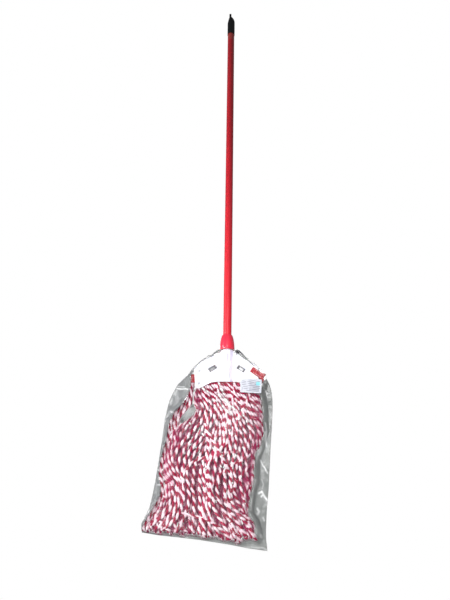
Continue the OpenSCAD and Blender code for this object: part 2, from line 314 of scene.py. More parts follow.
def clear_film(name):
    """Poly film: nearly clear where it lies over the yarn, hazy grey in its margins."""
    m = Shader(bpy.data.materials.new(name))
    place = m.coords()
    crinkle = m.noise(m.coords((1, 1, 0.5)), scale=55, detail=6, roughness=0.62, distortion=1.2)
    fine = m.noise(place, scale=420, roughness=0.6)
    normal = m.bump(fine, strength=0.14, distance=0.0006,
                    under=m.bump(crinkle, strength=0.4, distance=0.003))
    haze = m.attribute("haze")
    clear = m.node("BsdfTransparent", {"Color": (0.99, 0.99, 0.99)}).outputs[0]
    cloudy = m.ramp(m.noise(place, scale=24, detail=5, roughness=0.6),
                    (0.25, (0.15, 0.155, 0.15)), (0.5, (0.215, 0.225, 0.22)),
                    (0.8, (0.29, 0.30, 0.295)))
    # painted shade: the film at the left is painted a little darker and bluer
    left = m.node("MapRange", {"Value": m.position()[0], "From Min": -0.075,
                               "From Max": -0.115, "To Min": 0.0, "To Max": 0.34}).outputs[0]
    left_shaded = m.mix(left, cloudy, (0.10, 0.10, 0.125))
    # painted highlights: the glint attribute whitens the film at creases and glare patches
    lit = m.mix(m.attribute("glint"), left_shaded, (0.80, 0.81, 0.82))
    body = m.node("BsdfDiffuse", {"Color": lit, "Normal": normal}).outputs[0]
    hazy = m.node("MixShader", {0: haze, 1: clear, 2: body}).outputs[0]
    gloss = m.node("BsdfGlossy", {"Color": (1, 1, 1), "Normal": normal,
                                  "Roughness": m.ramp(fine, (0.3, 0.17), (0.8, 0.30))}).outputs[0]
    fresnel = m.node("Fresnel", {"IOR": 1.5, "Normal": normal}).outputs[0]
    shine = m.math("MULTIPLY", fresnel, m.ramp(haze, (0.0, 0.38), (0.6, 0.9)))
    m.feed(m.node("MixShader", {0: shine, 1: hazy, 2: gloss}).outputs[0], m.output)
    return m


def tube_coating():
    """Glossy red coating, dulled by a wrap of clear tape just under the cap."""
    tape_start = BASE + 1.133
    m = plastic("red_coating", srgb(222, 34, 50), roughness=0.3, variation=0.05, coat=0.3,
                relief=0.12, scuff=0.2, scuff_scale=(1, 1, 0.12))
    taped = m.math("GREATER_THAN", m.position()[2], tape_start)
    m.set(Base_Color=m.mix(m.math("MULTIPLY", taped, 0.35), m.base_colour(),
                           srgb(178, 118, 96)))
    return m


def white_plastic(name):
    return plastic(name, srgb(226, 226, 233), roughness=0.36, variation=0.03, coat=0.15,
                   relief=0.12, scuff=0.1, subsurface=0.04)


def shell_plastic():
    """White moulding with painted shade near the middle: a faint lilac band where the socket lies
    behind, and a narrow line.
    """
    m = white_plastic("shell_plastic")
    x, _, z = m.position()

    def band(value, low, high, fade):
        """1 between low and high, fading to 0 on either side."""
        rise = m.math("DIVIDE", m.math("SUBTRACT", value, low - fade), fade)
        drop = m.math("DIVIDE", m.math("SUBTRACT", high + fade, value), fade)
        lower = m.math("MINIMUM", rise, drop)
        return m.math("MAXIMUM", m.math("MINIMUM", lower, 1.0), 0.0)

    # painted shade: a wide lilac band and a narrow line beside the middle
    wide = m.math("MULTIPLY", band(x, low=0.0085, high=0.0145, fade=0.0015), 0.8)
    narrow = m.math("MULTIPLY", band(x, low=0.0012, high=0.0034, fade=0.0012),
                    band(z, low=BASE - 0.038, high=BASE - 0.014, fade=0.004))
    lilac_shade = m.math("MAXIMUM", wide, m.math("MULTIPLY", narrow, 0.9))
    strength = m.math("MULTIPLY", lilac_shade, 1.0)
    m.set(Base_Color=m.mix(strength, m.base_colour(), srgb(176, 164, 192)))
    return m


def galvanised_plate():
    """Spangled plate with painted shade: bright in the middle of each window, darker towards the
    window's edges where its walls shade the plate, and darker behind the left window.
    """
    bright_half = (0.0105, 0.0055)  # metres, along and across the window
    m = Principled("galvanised")
    x, _, z = m.position()
    from_x = m.math("SUBTRACT", m.math("ABSOLUTE", x), WINDOW_X * MM)
    from_z = m.math("SUBTRACT", z, BASE + WINDOW_HEIGHT * MM)
    cos, sin = math.cos(math.radians(WINDOW_TILT)), math.sin(math.radians(WINDOW_TILT))
    along = m.math("SUBTRACT", m.math("MULTIPLY", from_x, cos), m.math("MULTIPLY", from_z, sin))
    across = m.math("ADD", m.math("MULTIPLY", from_x, sin), m.math("MULTIPLY", from_z, cos))
    away = m.math("MAXIMUM", *[m.math("DIVIDE", m.math("ABSOLUTE", value), half)
                               for value, half in zip((along, across), bright_half)])
    spangle = m.node("TexVoronoi", {"Vector": m.coords(), "Scale": 170}).outputs["Distance"]
    zinc = m.ramp(spangle, (0.1, (0.50, 0.50, 0.52)), (0.9, (0.66, 0.66, 0.68)))
    uneven = m.math("MULTIPLY", m.noise(m.coords(), scale=260), 0.25)
    # painted shade cast by the window walls on the plate
    edge_shade = m.ramp(m.math("ADD", away, uneven), (0.55, 0), (0.78, 1))
    # the plate is darker behind the left window
    left = m.math("MULTIPLY", m.math("LESS_THAN", x, 0.0), 0.72)
    darker_left = m.mix(left, zinc, (0.10, 0.10, 0.105))
    m.set(Base_Color=m.mix(edge_shade, darker_left, (0.10, 0.10, 0.11)), Metallic=0.25, Roughness=0.5,
          Normal=m.bump(spangle, strength=0.12, distance=0.0003))
    return m


SHADERS = {
    "coating": tube_coating(),
    "cap": plastic("black_cap", srgb(15, 14, 16), roughness=0.42, variation=0.15, relief=0.25,
                   scuff=0.12),
    "nut": plastic("red_nut", srgb(232, 44, 70), roughness=0.28, variation=0.05, coat=0.9,
                   relief=0.06, scuff=0.15, subsurface=0.05),
    "ring": plastic("ring_plastic", srgb(232, 226, 206), roughness=0.5, variation=0.04),
    "plug": plastic("plug_plastic", srgb(215, 214, 205), roughness=0.55, variation=0.04),
    "white": white_plastic("white_plastic"),
    "shell": shell_plastic(),
    "steel": brushed_metal("tube_steel", (0.62, 0.62, 0.63), roughness=0.3),
    "zinc": brushed_metal("screw_zinc", (0.36, 0.37, 0.39), roughness=0.32),
    "galvanised": galvanised_plate(),
    "tape": woven_tape("red_tape", srgb(205, 38, 56)),
    "thread": yarn("thread", base=(0.80, 0.74, 0.75), dark=(0.55, 0.42, 0.44),
                   tint=(0.9, 0.85, 0.86)),
    "tie": plastic("tie_plastic", srgb(44, 26, 58), roughness=0.4, variation=0.1, relief=0.2),
    "white_yarn": yarn("yarn_white", base=(0.92, 0.80, 0.85), dark=(0.80, 0.46, 0.60),
                       tint=(0.95, 0.87, 0.90)),
    "crimson_yarn": yarn("yarn_crimson", base=srgb(162, 4, 58), dark=srgb(92, 0, 30),
                         tint=srgb(190, 22, 80)),
    "film": clear_film("clear_film"),
}
MATERIALS = {key: shader.data for key, shader in SHADERS.items()}

# the CAD parts that carry each material
CAD_PARTS = {
    "coating": ["tube_coating"], "steel": ["steel_tube"], "cap": ["end_cap"],
    "plug": ["tube_end_plug"], "nut": ["collar_nut"], "ring": ["grip_ring"],
    "white": ["socket_stem", "front_shell", "rear_shell"], "galvanised": ["clamp_plate"],
    "zinc": ["shell_screws"], "tape": ["headband"], "thread": ["headband_stitching"],
    "crimson_yarn": ["yarn_core", "yarn_front", "yarn_rear", "yarn_stray_lock"],
    "film": ["poly_bag", "bag_label"], "tie": ["neck_tie"],
}
for key, parts in CAD_PARTS.items():
    for part in parts:
        nodes[part].data.materials.clear()
        nodes[part].data.materials.append(MATERIALS[key])


# ------------------------------------------------------------------- meshes
def add_object(name, data):
    made = bpy.data.objects.new(name, data)
    bpy.context.scene.collection.objects.link(made)
    return made


def smooth_shade(mesh):
    mesh.polygons.foreach_set("use_smooth", np.ones(len(mesh.polygons), bool))


def face_mesh(name, points, faces, material):
    """A smooth mesh of any polygons; points in millimetres."""
    mesh = bpy.data.meshes.new(name)
    mesh.from_pydata(to_world(points).tolist(), [], faces)
    mesh.materials.append(material)
    smooth_shade(mesh)
    mesh.update()
    return add_object(name, mesh)


def add_attribute(mesh, name, values):
    kind, field = ("FLOAT", "value") if values.ndim == 1 else ("FLOAT_VECTOR", "vector")
    made = mesh.attributes.new(name, kind, "POINT")
    made.data.foreach_set(field, values.astype(np.float32).ravel())


def quad_mesh(name, points, quads, materials, attributes, index=None):
    """A large smooth mesh of quads from arrays; points in millimetres."""
    mesh = bpy.data.meshes.new(name)
    mesh.vertices.add(len(points))
    mesh.vertices.foreach_set("co", to_world(points).astype(np.float32).ravel())
    mesh.loops.add(len(quads) * 4)
    mesh.loops.foreach_set("vertex_index", quads.astype(np.int32).ravel())
    mesh.polygons.add(len(quads))
    mesh.polygons.foreach_set("loop_start", np.arange(0, len(quads) * 4, 4, dtype=np.int32))
    mesh.polygons.foreach_set("loop_total", np.full(len(quads), 4, np.int32))
    for material in materials:
        mesh.materials.append(material)
    if index is not None:
        mesh.polygons.foreach_set("material_index", index.astype(np.int32))
    smooth_shade(mesh)
    mesh.update(calc_edges=True)
    for key, values in attributes.items():
        add_attribute(mesh, key, values)
    mesh.validate()
    return add_object(name, mesh)


def face_outward(piece):
    bm = bmesh.new()
    bm.from_mesh(piece.data)
    bmesh.ops.recalc_face_normals(bm, faces=bm.faces)
    bm.to_mesh(piece.data)
    bm.free()


def add_uv(mesh, uv):
    """A UV map from one pair per vertex."""
    layer = mesh.uv_layers.new(name="uv")
    corners = np.zeros(len(mesh.loops), np.int32)
    mesh.loops.foreach_get("vertex_index", corners)
    layer.data.foreach_set("uv", np.asarray(uv)[corners].astype(np.float32).ravel())


def ring_quads(rows, sides, closed=False):
    """Quads between successive rings of points; closed joins the last ring to the first."""
    row = np.arange(rows if closed else rows - 1)[:, None]
    following = (row + 1) % rows
    side = np.arange(sides)[None, :]
    beside = (side + 1) % sides
    corners = [row * sides + side, row * sides + beside,
               following * sides + beside, following * sides + side]
    return np.stack(corners, axis=-1).reshape(-1, 4)


def flat_end(first, sides, forward):
    """Quads across a flattened ring whose second half runs back under its first."""
    quads = []
    for j in range(sides // 2 - 1):
        near, beyond = first + j, first + sides - 1 - j
        quad = [near, near + 1, beyond - 1, beyond]
        quads.append(quad if forward else [near, beyond, beyond - 1, near + 1])
    return quads


def band_faces(rows, sides, forward):
    """Faces of a flat band with both ends closed; forward sets the winding of the first end."""
    return (ring_quads(rows, sides).tolist() + flat_end(0, sides, forward)
            + flat_end((rows - 1) * sides, sides, not forward))


def round_tube(centres, radius, across, up, sides):
    """A closed tube as points and faces, its rings laid out along across and up."""
    rows = len(centres)
    angle = np.linspace(0, 2 * np.pi, sides, endpoint=False)[None, :, None]
    around = np.cos(angle) * across[..., None, :] + np.sin(angle) * up[..., None, :]
    radius = (radius * np.ones(rows))[:, None, None]
    points = (centres[:, None, :] + radius * around).reshape(-1, 3)
    first, last = list(range(sides))[::-1], list(range((rows - 1) * sides, rows * sides))
    return points, ring_quads(rows, sides).tolist() + [first, last]


def sweep(path, radius, sides=8):
    along = unit(np.gradient(path, axis=0))
    across = unit(np.cross(along, [0.3, 0.2, 0.93]))
    return round_tube(path, radius, across, np.cross(along, across), sides)


def joined(tubes):
    points, faces, first = [], [], 0
    for tube_points, tube_faces in tubes:
        points.append(tube_points)
        faces += [[corner + first for corner in face] for face in tube_faces]
        first += len(tube_points)
    return np.concatenate(points), faces


def head_part(piece, slot, *replaced):
    """Attach a piece to the head, hiding the CAD parts that it replaces."""
    if replaced:
        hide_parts(*replaced)
    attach(piece, "head")


def hang(piece):
    """Bake a piece's transform into its mesh."""
    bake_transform(piece)


# --------------------------------------------------------------------- yarn
SIDES = 8  # round each ply
WHITE_RADIUS, CRIMSON_RADIUS = 3.05, 2.75
PLY_OFFSET = 2.5  # each ply's centre from the strand's
PITCH = 22.5
STEPS = 132  # points along an outer strand
STRAND_MARGIN = 4.5  # from the skirt's edge to the outermost strand's centre

# outer edges of the skirt: depth, left x, right x
EDGES = [
    (70, -76, 76), (89, -78, 79), (103, -80, 83), (112, -85, 86), (130, -92, 89),
    (147, -101, 91), (168, -113, 92), (186, -124, 92), (206, -132, 92), (216, -137, 93),
    (236, -137, 86), (256, -146, 82), (275, -149, 75), (290, -155, 72), (304, -152, 70),
    (320, -154, 69), (334, -144, 69), (343, -141, 66), (355, -148, 62), (369, -146, 61),
    (387, -159, 58), (405, -167, 57), (423, -177, 68), (441, -185, 73), (455, -184, 76),
    (472, -180, 76)]
EDGE_DEPTH, LEFT_EDGE, RIGHT_EDGE = np.array(EDGES, float).T

# how far the left strands are drawn in beside the gap: depths, then distances
PULL = ([70, 112, 130, 147, 160, 170, 180, 190, 203, 215, 472],
        [0, 0, 5, 18, 31, 36, 34, 26, 10, 0, 0])
# half the thickness of the skirt: depths, then distances
THICKNESS = ([80, 106, 135, 170, 330, 400, 440, 470], [7, 11, 16, 18.2, 17.6, 15, 12, 9])
# cut ends: x, then heights
TIPS = ([-190, -150, -90, -58, -10, 30, 80], [-447, -450, -453, -456, -461, -466, -462])

# lean of the front strands, sideways run per unit of fall: a row per depth, a column per x
LEAN_DEPTH = [84, 109, 147, 186, 223, 261, 297, 332, 367, 401, 434, 470]
LEAN_X = [-137, -88, -38, 12, 60]
LEAN = np.array([
    [0.1, 0.2, 0.5, 0.4, 0.4], [0.2, 0.4, 0.9, 0.7, 0.8], [0.0, 0.4, 0.9, 0.65, 0.7],
    [-0.2, 0.1, 0.2, 0.3, 0.6], [-0.3, -0.6, -0.35, 0.25, 0.4], [0.1, -0.3, -0.2, 0.3, 0.3],
    [0.4, 0.0, 0.1, 0.1, 0.2], [0.5, 0.1, 0.05, 0.3, 0.1], [0.1, 0.6, 0.6, 0.6, 0.5],
    [-0.3, 0.2, 0.8, 0.9, 0.8], [-0.9, -0.1, 0.6, 0.8, 0.9], [-0.9, -0.1, 0.5, 0.7, 0.8]]) - 0.26


def left_edge(height):
    return profile(height, EDGE_DEPTH, LEFT_EDGE)


def right_edge(height):
    return profile(height, EDGE_DEPTH, RIGHT_EDGE)


def inside(height, margin):
    """The skirt's left and right limits, brought in by a margin."""
    return left_edge(height) + margin, right_edge(height) - margin


def half_thickness(height):
    return profile(height, *THICKNESS)


def tip_height(x):
    return np.interp(x, *TIPS)


def lean_at(x, height):
    level = np.interp(-height, LEAN_DEPTH, np.arange(len(LEAN_DEPTH)))
    i = min(int(level), len(LEAN_DEPTH) - 2)
    row = LEAN[i] * (1 - (level - i)) + LEAN[i + 1] * (level - i)
    return np.interp(x, LEAN_X, row)


def pull_in(x, height):
    left = left_edge(height) + STRAND_MARGIN
    return x + profile(height, *PULL) * np.clip(1 - (x - left) / 80.0, 0, 1) ** 1.6


def wander(count, heights, seed, waves):
    """A slow random drift for each strand; waves are wavelength and size."""
    random = np.random.default_rng(seed)
    drift = np.zeros((count, len(heights)))
    for wavelength, size in waves:
        phase = random.uniform(0, 2 * np.pi, count)[:, None]
        length = wavelength * random.uniform(0.75, 1.35, count)[:, None]
        amount = size * random.uniform(0.5, 1.2, count)[:, None]
        drift += amount * np.sin(2 * np.pi * heights[None, :] / length + phase)
    return drift


def unroll(place):
    """A place on the ring as its share across the skirt, and whether it is on the front."""
    place = np.mod(place, 2)
    return np.where(place <= 1, place, 2 - place), place <= 1


def outer_ring(count=48, seed=101, top=-84.0, bottom=-472):
    """Outer strands, laid round the skirt as one closed ring: place runs 0..1 across the front
    and 1..2 back across the rear. Going down, the ring turns and the strands lean."""
    random = np.random.default_rng(seed)
    levels = np.linspace(top, bottom, 160)
    fall = levels[0] - levels[1]
    place = 2 * (np.arange(count) + 0.5) / count + random.uniform(-0.2, 0.2, count) * 2 / count
    places = [place]
    for upper, lower in zip(levels, levels[1:]):
        left, right = inside(upper, STRAND_MARGIN)
        next_left, next_right = inside(lower, STRAND_MARGIN)
        share, on_front = unroll(place)
        x = left + (right - left) * share
        outline = ((next_left - left) * (1 - share) + (next_right - right) * share) / fall
        rear = 0.12 + 0.2 * np.sin(upper / 60 + 3 * share)
        lean = np.where(on_front, lean_at(x, upper) - 0.35 * outline, rear)
        place = place + np.clip(lean, -1.2, 1.2) * fall / (right - left)
        # even out the spacing
        gap_after = np.mod(np.roll(place, -1) - place, 2)
        gap_before = np.mod(place - np.roll(place, 1), 2)
        place = place + 0.06 * (gap_after - gap_before)
        places.append(place)
    places = np.stack(places, axis=1)

    even = np.linspace(top, bottom, STEPS)
    x_drift = wander(count, even, seed + 1, [(150, 1.9), (70, 1.3), (38, 0.6)])
    y_drift = wander(count, even, seed + 2, [(120, 0.9), (45, 0.8)])
    left, right = inside(levels, STRAND_MARGIN)
    paths = np.zeros((count, STEPS, 3))
    for k in range(count):
        share, on_front = unroll(places[k])
        x = left + (right - left) * share
        roundness = np.clip(1 - np.abs(2 * share - 1) ** 3.2, 0, 1) ** 0.5
        y = (np.where(on_front, -1.0, 1.0) * roundness
             * np.maximum(half_thickness(levels) - 5.2, 2.2))
        end = tip_height(x[-8]) + random.uniform(-5, 5)
        heights = top + (end - top) * np.linspace(0, 1, STEPS)
        freedom = ease(-heights, 92, 150)
        x = np.interp(-heights, -levels, x) + x_drift[k] * freedom
        paths[k, :, 0] = pull_in(np.clip(x, *inside(heights, 4.0)), heights)
        paths[k, :, 1] = np.interp(-heights, -levels, y) + y_drift[k] * (0.2 + 0.8 * freedom)
        paths[k, :, 2] = heights
    relax(paths.swapaxes(0, 1)[..., :2], 6)
    return paths


def inner_layer(side, seed, count=20, top=-76.0):
    """A layer inside the skirt, ahead of its middle (side -1) or behind it (side 1)."""
    random = np.random.default_rng(seed)
    steps = 110
    shares = (np.arange(count) + 0.5) / count
    shares = shares + random.uniform(-0.2, 0.2, count) / count
    even = top + (-470 - top) * np.linspace(0, 1, steps)
    drift = wander(count, even, seed + 1, [(170, 4.0), (80, 2.4), (40, 0.8)])
    field = random_field(seed + 9, 4, 6)
    paths = np.zeros((count, steps, 3))
    for k, share in enumerate(shares):
        end = tip_height(-185 + 260 * share) + 3 + random.uniform(-5, 5)
        heights = top + (end - top) * np.linspace(0, 1, steps)
        left, right = inside(heights, 5.5)
        strayed = share + (0.09 * field(share, (-heights - 80) / 390) * np.sin(np.pi * share)
                           * ease(-heights, 100, 180))
        x = left + (right - left) * np.clip(strayed, 0.01, 0.99)
        x = np.clip(x + drift[k] * ease(-heights, 92, 170), left, right)
        paths[k, :, 0] = pull_in(x, heights)
        paths[k, :, 1] = (side * half_thickness(heights) * 0.24
                          * (0.6 + 0.4 * np.sin(heights / 31 + k * 2.1)))
        paths[k, :, 2] = heights
    relax(paths[:, :, 0].T, 6)
    return paths


def loose_strands(count=7, seed=55, top=-88):
    """Strands that have come up over their neighbours on the front and the rear."""
    random = np.random.default_rng(seed)
    along = np.linspace(0, 1, STEPS)
    paths = np.zeros((count, STEPS, 3))
    for k in range(count):
        side = -1 if k % 2 == 0 else 1
        start = (k + 0.5) / count
        heights = top + (-455 - top) * along
        left, right = inside(heights, 9)
        middle, last = random.uniform(0.15, 0.9, 2)
        stops = [start, start * 0.6 + middle * 0.4, (middle + last) / 2, last]
        share = np.interp(along, [0, 0.3, 0.65, 1], stops)
        sway = np.sin(heights / random.uniform(20, 34) + random.uniform(0, 6))
        x = (left + (right - left) * np.clip(share, 0.03, 0.97)
             + 5 * sway * ease(-heights, 120, 200))
        heights = top + (tip_height(x[-1]) + random.uniform(-3, 6) - top) * along
        paths[k, :, 0] = pull_in(x, heights)
        paths[k, :, 1] = (side * np.maximum(half_thickness(heights) - 3.4, 2.5)
                          * np.clip(1 - np.abs(2 * share - 1) ** 4, 0.1, 1) ** 0.5)
        paths[k, :, 2] = heights
    relax(paths[:, :, 0].T, 30)
    return paths


# middle line of the stray lock: depths, then x
LOCK = ([72, 95, 122, 135, 147, 158, 168, 178, 186, 200, 215, 237, 256, 290, 320, 345, 369,
         405, 441, 455],
        [-86, -87.5, -90, -93, -98, -107, -115, -122, -126, -130, -132, -131, -138, -147, -148,
         -139, -140, -161, -178, -178])
# its strands: x beside the middle line, y
LOCK_STRANDS = [(-8.0, -4.5), (-0.5, 2.0), (7.0, -3.0), (14.0, 5.5)]


def stray_lock():
    """From the headband's left end, out round the gap and back to the skirt's left edge."""
    paths = []
    for k, (beside, y) in enumerate(LOCK_STRANDS):
        top, end = -74 - k * 4, -449 + (k * 7) % 9
        heights = top + (end - top) * np.linspace(0, 1, STEPS)
        x = (profile(heights, *LOCK) + beside * (0.15 + 0.85 * ease(-heights, 112, 160))
             + 1.2 * np.sin(heights / 17 + 2 * k))
        if k == 3:
            x = x - 11.2 * np.exp(-((heights + 172) / 26) ** 2)
        relax(x, 8)
        y = y * (0.5 + 0.5 * ease(-heights, 80, 120)) + 0.8 * np.sin(heights / 23 + 2 * k)
        paths.append(np.stack([x, y, heights], axis=1))
    return np.array(paths)


def two_ply(paths, radii, offset, pitch, phase, value, fray):
    """Twist two plies round each path. Returns points, quads, ply index and ply_uv."""
    count, steps, _ = paths.shape
    along = unit(np.gradient(paths, axis=1))
    lengths = np.linalg.norm(np.diff(paths, axis=1), axis=2)
    run = np.concatenate([np.zeros((count, 1)), np.cumsum(lengths, axis=1)], axis=1)
    total = run[:, -1:]
    rearward = np.array([0.0, 1.0, 0.0])
    across = unit(rearward - along * (along @ rearward)[..., None])
    third = np.cross(along, across)
    # packed closer and thinner where they leave the holder
    packing = profile(paths[:, :, 2], [80, 165], [0.80, 1.0])
    # plies part at the cut end
    parting = 1 + fray[:, None] * ease(run, total - 14, total)
    taper = 1 - 0.75 * ease(run, total - 2.5, total + 0.01)
    angle = np.linspace(0, 2 * np.pi, SIDES, endpoint=False)
    ring = (np.cos(angle)[:, None] * across[:, :, None, :] * 0.86
            + np.sin(angle)[:, None] * third[:, :, None, :])
    shape = (count, steps, SIDES)
    firsts = (np.arange(count) * steps * SIDES)[:, None, None]
    fan = np.array([[0, 1, 2, 3], [0, 3, 4, 7], [4, 5, 6, 7]])
    local = [quads.reshape(-1, 4) for quads in (
        firsts + ring_quads(steps, SIDES), firsts + fan[:, ::-1],
        firsts + (steps - 1) * SIDES + fan)]
    local = np.concatenate(local)

    points, quads, index, ply_uv = [], [], [], []
    for ply, radius in enumerate(radii):
        turn = -2 * np.pi * run / pitch + phase[:, None] + ply * np.pi
        out = (offset[:, None] * parting * packing)[..., None]
        centre = paths + out * (np.cos(turn)[..., None] * across
                                + np.sin(turn)[..., None] * third * 0.66)
        uneven = 1 + 0.10 * np.sin(turn * 3.1 + phase[:, None] * 5)
        thick = radius[:, None] * uneven * taper * packing
        points.append((centre[:, :, None, :] + thick[:, :, None, None] * ring).reshape(-1, 3))
        quads.append(local + ply * count * steps * SIDES)
        index.append(np.full(len(local), ply))
        texture = [np.broadcast_to(run[:, :, None] * MM, shape),
                   angle + turn[:, :, None] * 0.5,
                   np.broadcast_to(value[:, None, None], shape)]
        ply_uv.append(np.stack(texture, axis=-1).reshape(-1, 3))
    return [np.concatenate(part) for part in (points, quads, index, ply_uv)]


def root_depth(points, centres, lone):
    """Painted shade for each point, 0..1, from how far it is sunk in the skirt or between strands."""
    height = points[:, 2]
    left = pull_in(left_edge(height) + STRAND_MARGIN, height) - STRAND_MARGIN
    right = right_edge(height)
    from_face = half_thickness(height) - np.abs(points[:, 1])
    from_side = np.maximum(np.minimum(points[:, 0] - left, right - points[:, 0]), 0)
    painted_shade = np.clip((np.minimum(from_face, from_side) - 4.0) / 7.0, 0, 1) * 0.93
    if lone:
        # a few strands by themselves are lit on the rear as well
        painted_shade = painted_shade * 0.3
        root = (1 - ease(np.abs(points[:, 1] - centres[:, 1]), 0.3, 3.2)) * 0.6
    else:
        # the skirt's outward direction at each strand
        half = np.maximum((right - left) / 2, 1)
        out_x = np.clip((centres[:, 0] - (left + right) / 2) / half, -1, 1)
        out_x = np.sign(out_x) * np.abs(out_x) ** 9 * 2.5
        out_y = np.sign(centres[:, 1]) * np.clip(np.abs(centres[:, 1]) / 3, 0, 1)
        size = np.sqrt(out_x * out_x + out_y * out_y) + 1e-6
        away = points - centres
        lift = (away[:, 0] * out_x + away[:, 1] * out_y) / size
        # painted shade on the side of each strand that faces into the skirt
        root = (1 - ease(lift, -1.6, 3.0)) * 0.92
    painted_shade = 1 - (1 - painted_shade) * (1 - root)
    above_tips = ease(height, -468, -440)
    return painted_shade * above_tips + 0.2 * (1 - above_tips)


yarn_surface = []  # every strand's surface points, which the film is fitted to


def yarn_piece(name, paths, seed, replaced=None, lone=False):
    count, steps, _ = paths.shape
    random = np.random.default_rng(seed)
    white = WHITE_RADIUS * random.uniform(0.92, 1.1, count)
    crimson = CRIMSON_RADIUS * random.uniform(0.9, 1.1, count)
    offset = PLY_OFFSET * random.uniform(0.94, 1.06, count)
    phase = np.cumsum(random.normal(0.6, 1.1, count)) + random.uniform(0, 6)
    points, quads, index, ply_uv = two_ply(
        paths, (white, crimson), offset,
        pitch=PITCH * random.uniform(0.93, 1.09, count)[:, None], phase=phase,
        value=random.uniform(0, 1, count), fray=random.uniform(0.2, 1.1, count))
    # points halfway round and along are added, so that no cell of the fitting grid is skipped
    dense = points.reshape(-1, steps, SIDES, 3)
    dense = np.concatenate([dense, (dense + np.roll(dense, 1, axis=2)) / 2], axis=2)
    halfway = (dense + np.roll(dense, 1, axis=1))[:, 1:] / 2
    yarn_surface.append(np.concatenate([dense, halfway], axis=1).reshape(-1, 3))
    centres = np.tile(np.repeat(paths.reshape(-1, 3), SIDES, axis=0), (2, 1))
    piece = quad_mesh(name, points, quads, [MATERIALS["white_yarn"], MATERIALS["crimson_yarn"]],
                      {"ply_uv": ply_uv, "painted_shade": root_depth(points, centres, lone)}, index)
    if replaced:
        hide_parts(replaced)
    hang(piece)


ring = outer_ring()
yarn_piece("yarn_front_left", ring[:12], 1, "yarn_front")
yarn_piece("yarn_front_right", ring[12:24], 2)
yarn_piece("yarn_rear_right", ring[24:36], 4, "yarn_rear")
yarn_piece("yarn_rear_left", ring[36:], 5)
yarn_piece("yarn_inner_front", inner_layer(side=-1, seed=202), 3, "yarn_core")
yarn_piece("yarn_inner_rear", inner_layer(side=1, seed=404), 6)
yarn_piece("yarn_loose_strands", loose_strands(), 8)
yarn_piece("yarn_stray_strands", stray_lock(), 7, "yarn_stray_lock", lone=True)

# ---------------------------------------------------------- moulded shells
# bead along the shoulders, mirrored left and right: x, height
SHOULDER = [(17, -12.3), (28, -15.2), (42.3, -25.6), (56.2, -32.2), (67.6, -41), (78.2, -52.3),
            (80.6, -57), (79.8, -70), (77.8, -101)]
# frame round a window: offset along, offset across, length, width
WINDOW_FRAME = [(0, 6.6, 25.5, 1.5), (0, -6.6, 25.5, 1.5), (11.9, 0, 1.5, 14.6),
                (-11.9, 0, 1.5, 14.6)]


def add_box(bm, centre, size, tilt=0):
    made = bmesh.ops.create_cube(bm, size=1.0)
    turn = Matrix.Rotation(math.radians(tilt), 4, "Y")
    scale = Matrix.Diagonal((*[length * MM for length in size], 1))
    place = Matrix.Translation(point(*centre))
    bmesh.ops.transform(bm, matrix=place @ turn @ scale, verts=made["verts"])


def add_bead_ring(bm, x, y, height, major=4.6, minor=0.7, around=28, sides=8):
    """A torus lying in the XZ plane."""
    verts = []
    for i in range(around):
        turn = 2 * math.pi * i / around
        for j in range(sides):
            roll = 2 * math.pi * j / sides
            radius = major + minor * math.cos(roll)
            verts.append(bm.verts.new(point(x + radius * math.cos(turn),
                                            y + minor * math.sin(roll),
                                            height + radius * math.sin(turn))))
    for quad in ring_quads(around, sides, closed=True)[:, [0, 1, 2, 3]].tolist():
        bm.faces.new([verts[corner] for corner in quad])


def add_shell_details(bm, side):
    """Raised details on the front (side -1) or rear (side 1) face."""
    y = side * 12.5
    for hand in (-1, 1):
        tilt = WINDOW_TILT * hand
        cos, sin = math.cos(math.radians(tilt)), math.sin(math.radians(tilt))
        for along, across, length, width in WINDOW_FRAME:
            x = hand * WINDOW_X + along * cos + across * sin
            height = WINDOW_HEIGHT - along * sin + across * cos
            add_box(bm, (x, y, height), (length, 1.9, width), tilt)
    # two ribs down the middle, and a cross bar
    for x in (-5.5, 5.5):
        add_box(bm, (x, y, -60), (2.0, 2.2, 52))
    add_box(bm, (0, y, -86.6), (76, 2.0, 1.8))
    for hand in (-1, 1):
        for (x0, h0), (x1, h1) in zip(SHOULDER, SHOULDER[1:]):
            middle = (h0 + h1) / 2
            depth = 13.8 if middle > -30 else (13.0 if middle > -42 else 12.5)
            slope = math.degrees(math.atan2(h1 - h0, x1 - x0))
            add_box(bm, (hand * (x0 + x1) / 2, side * depth, middle),
                    (math.hypot(x1 - x0, h1 - h0) + 1.2, 1.7, 1.5), -slope * hand)
    # beads round the screws
    for x in (-70, 70):
        for height in (-62, -95):
            add_bead_ring(bm, x, y, height)


def moulded_shell(name, source, side):
    """The CAD shell and its details as one closed skin with softened edges."""
    mesh = nodes[source].data.copy()
    bm = bmesh.new()
    bm.from_mesh(mesh)
    add_shell_details(bm, side)
    bm.normal_update()
    bm.to_mesh(mesh)
    bm.free()
    mesh.materials.clear()
    mesh.materials.append(MATERIALS["shell"])
    piece = add_object(name, mesh)
    remesh = piece.modifiers.new("remesh", "REMESH")
    remesh.mode = "VOXEL"
    remesh.voxel_size = 0.62 * MM
    remesh.use_smooth_shade = True
    soften = piece.modifiers.new("soften", "SMOOTH")
    soften.factor = 0.5
    soften.iterations = 4
    piece.modifiers.new("thin", "DECIMATE").ratio = 0.42
    # bake the modifiers into the mesh
    bpy.context.view_layer.update()
    graph = bpy.context.evaluated_depsgraph_get()
    baked = bpy.data.meshes.new_from_object(piece.evaluated_get(graph),
                                            preserve_all_data_layers=True, depsgraph=graph)
    piece.modifiers.clear()
    piece.data = baked
    for polygon in baked.polygons:
        polygon.use_smooth = True
    head_part(piece, "white_plastic", source)


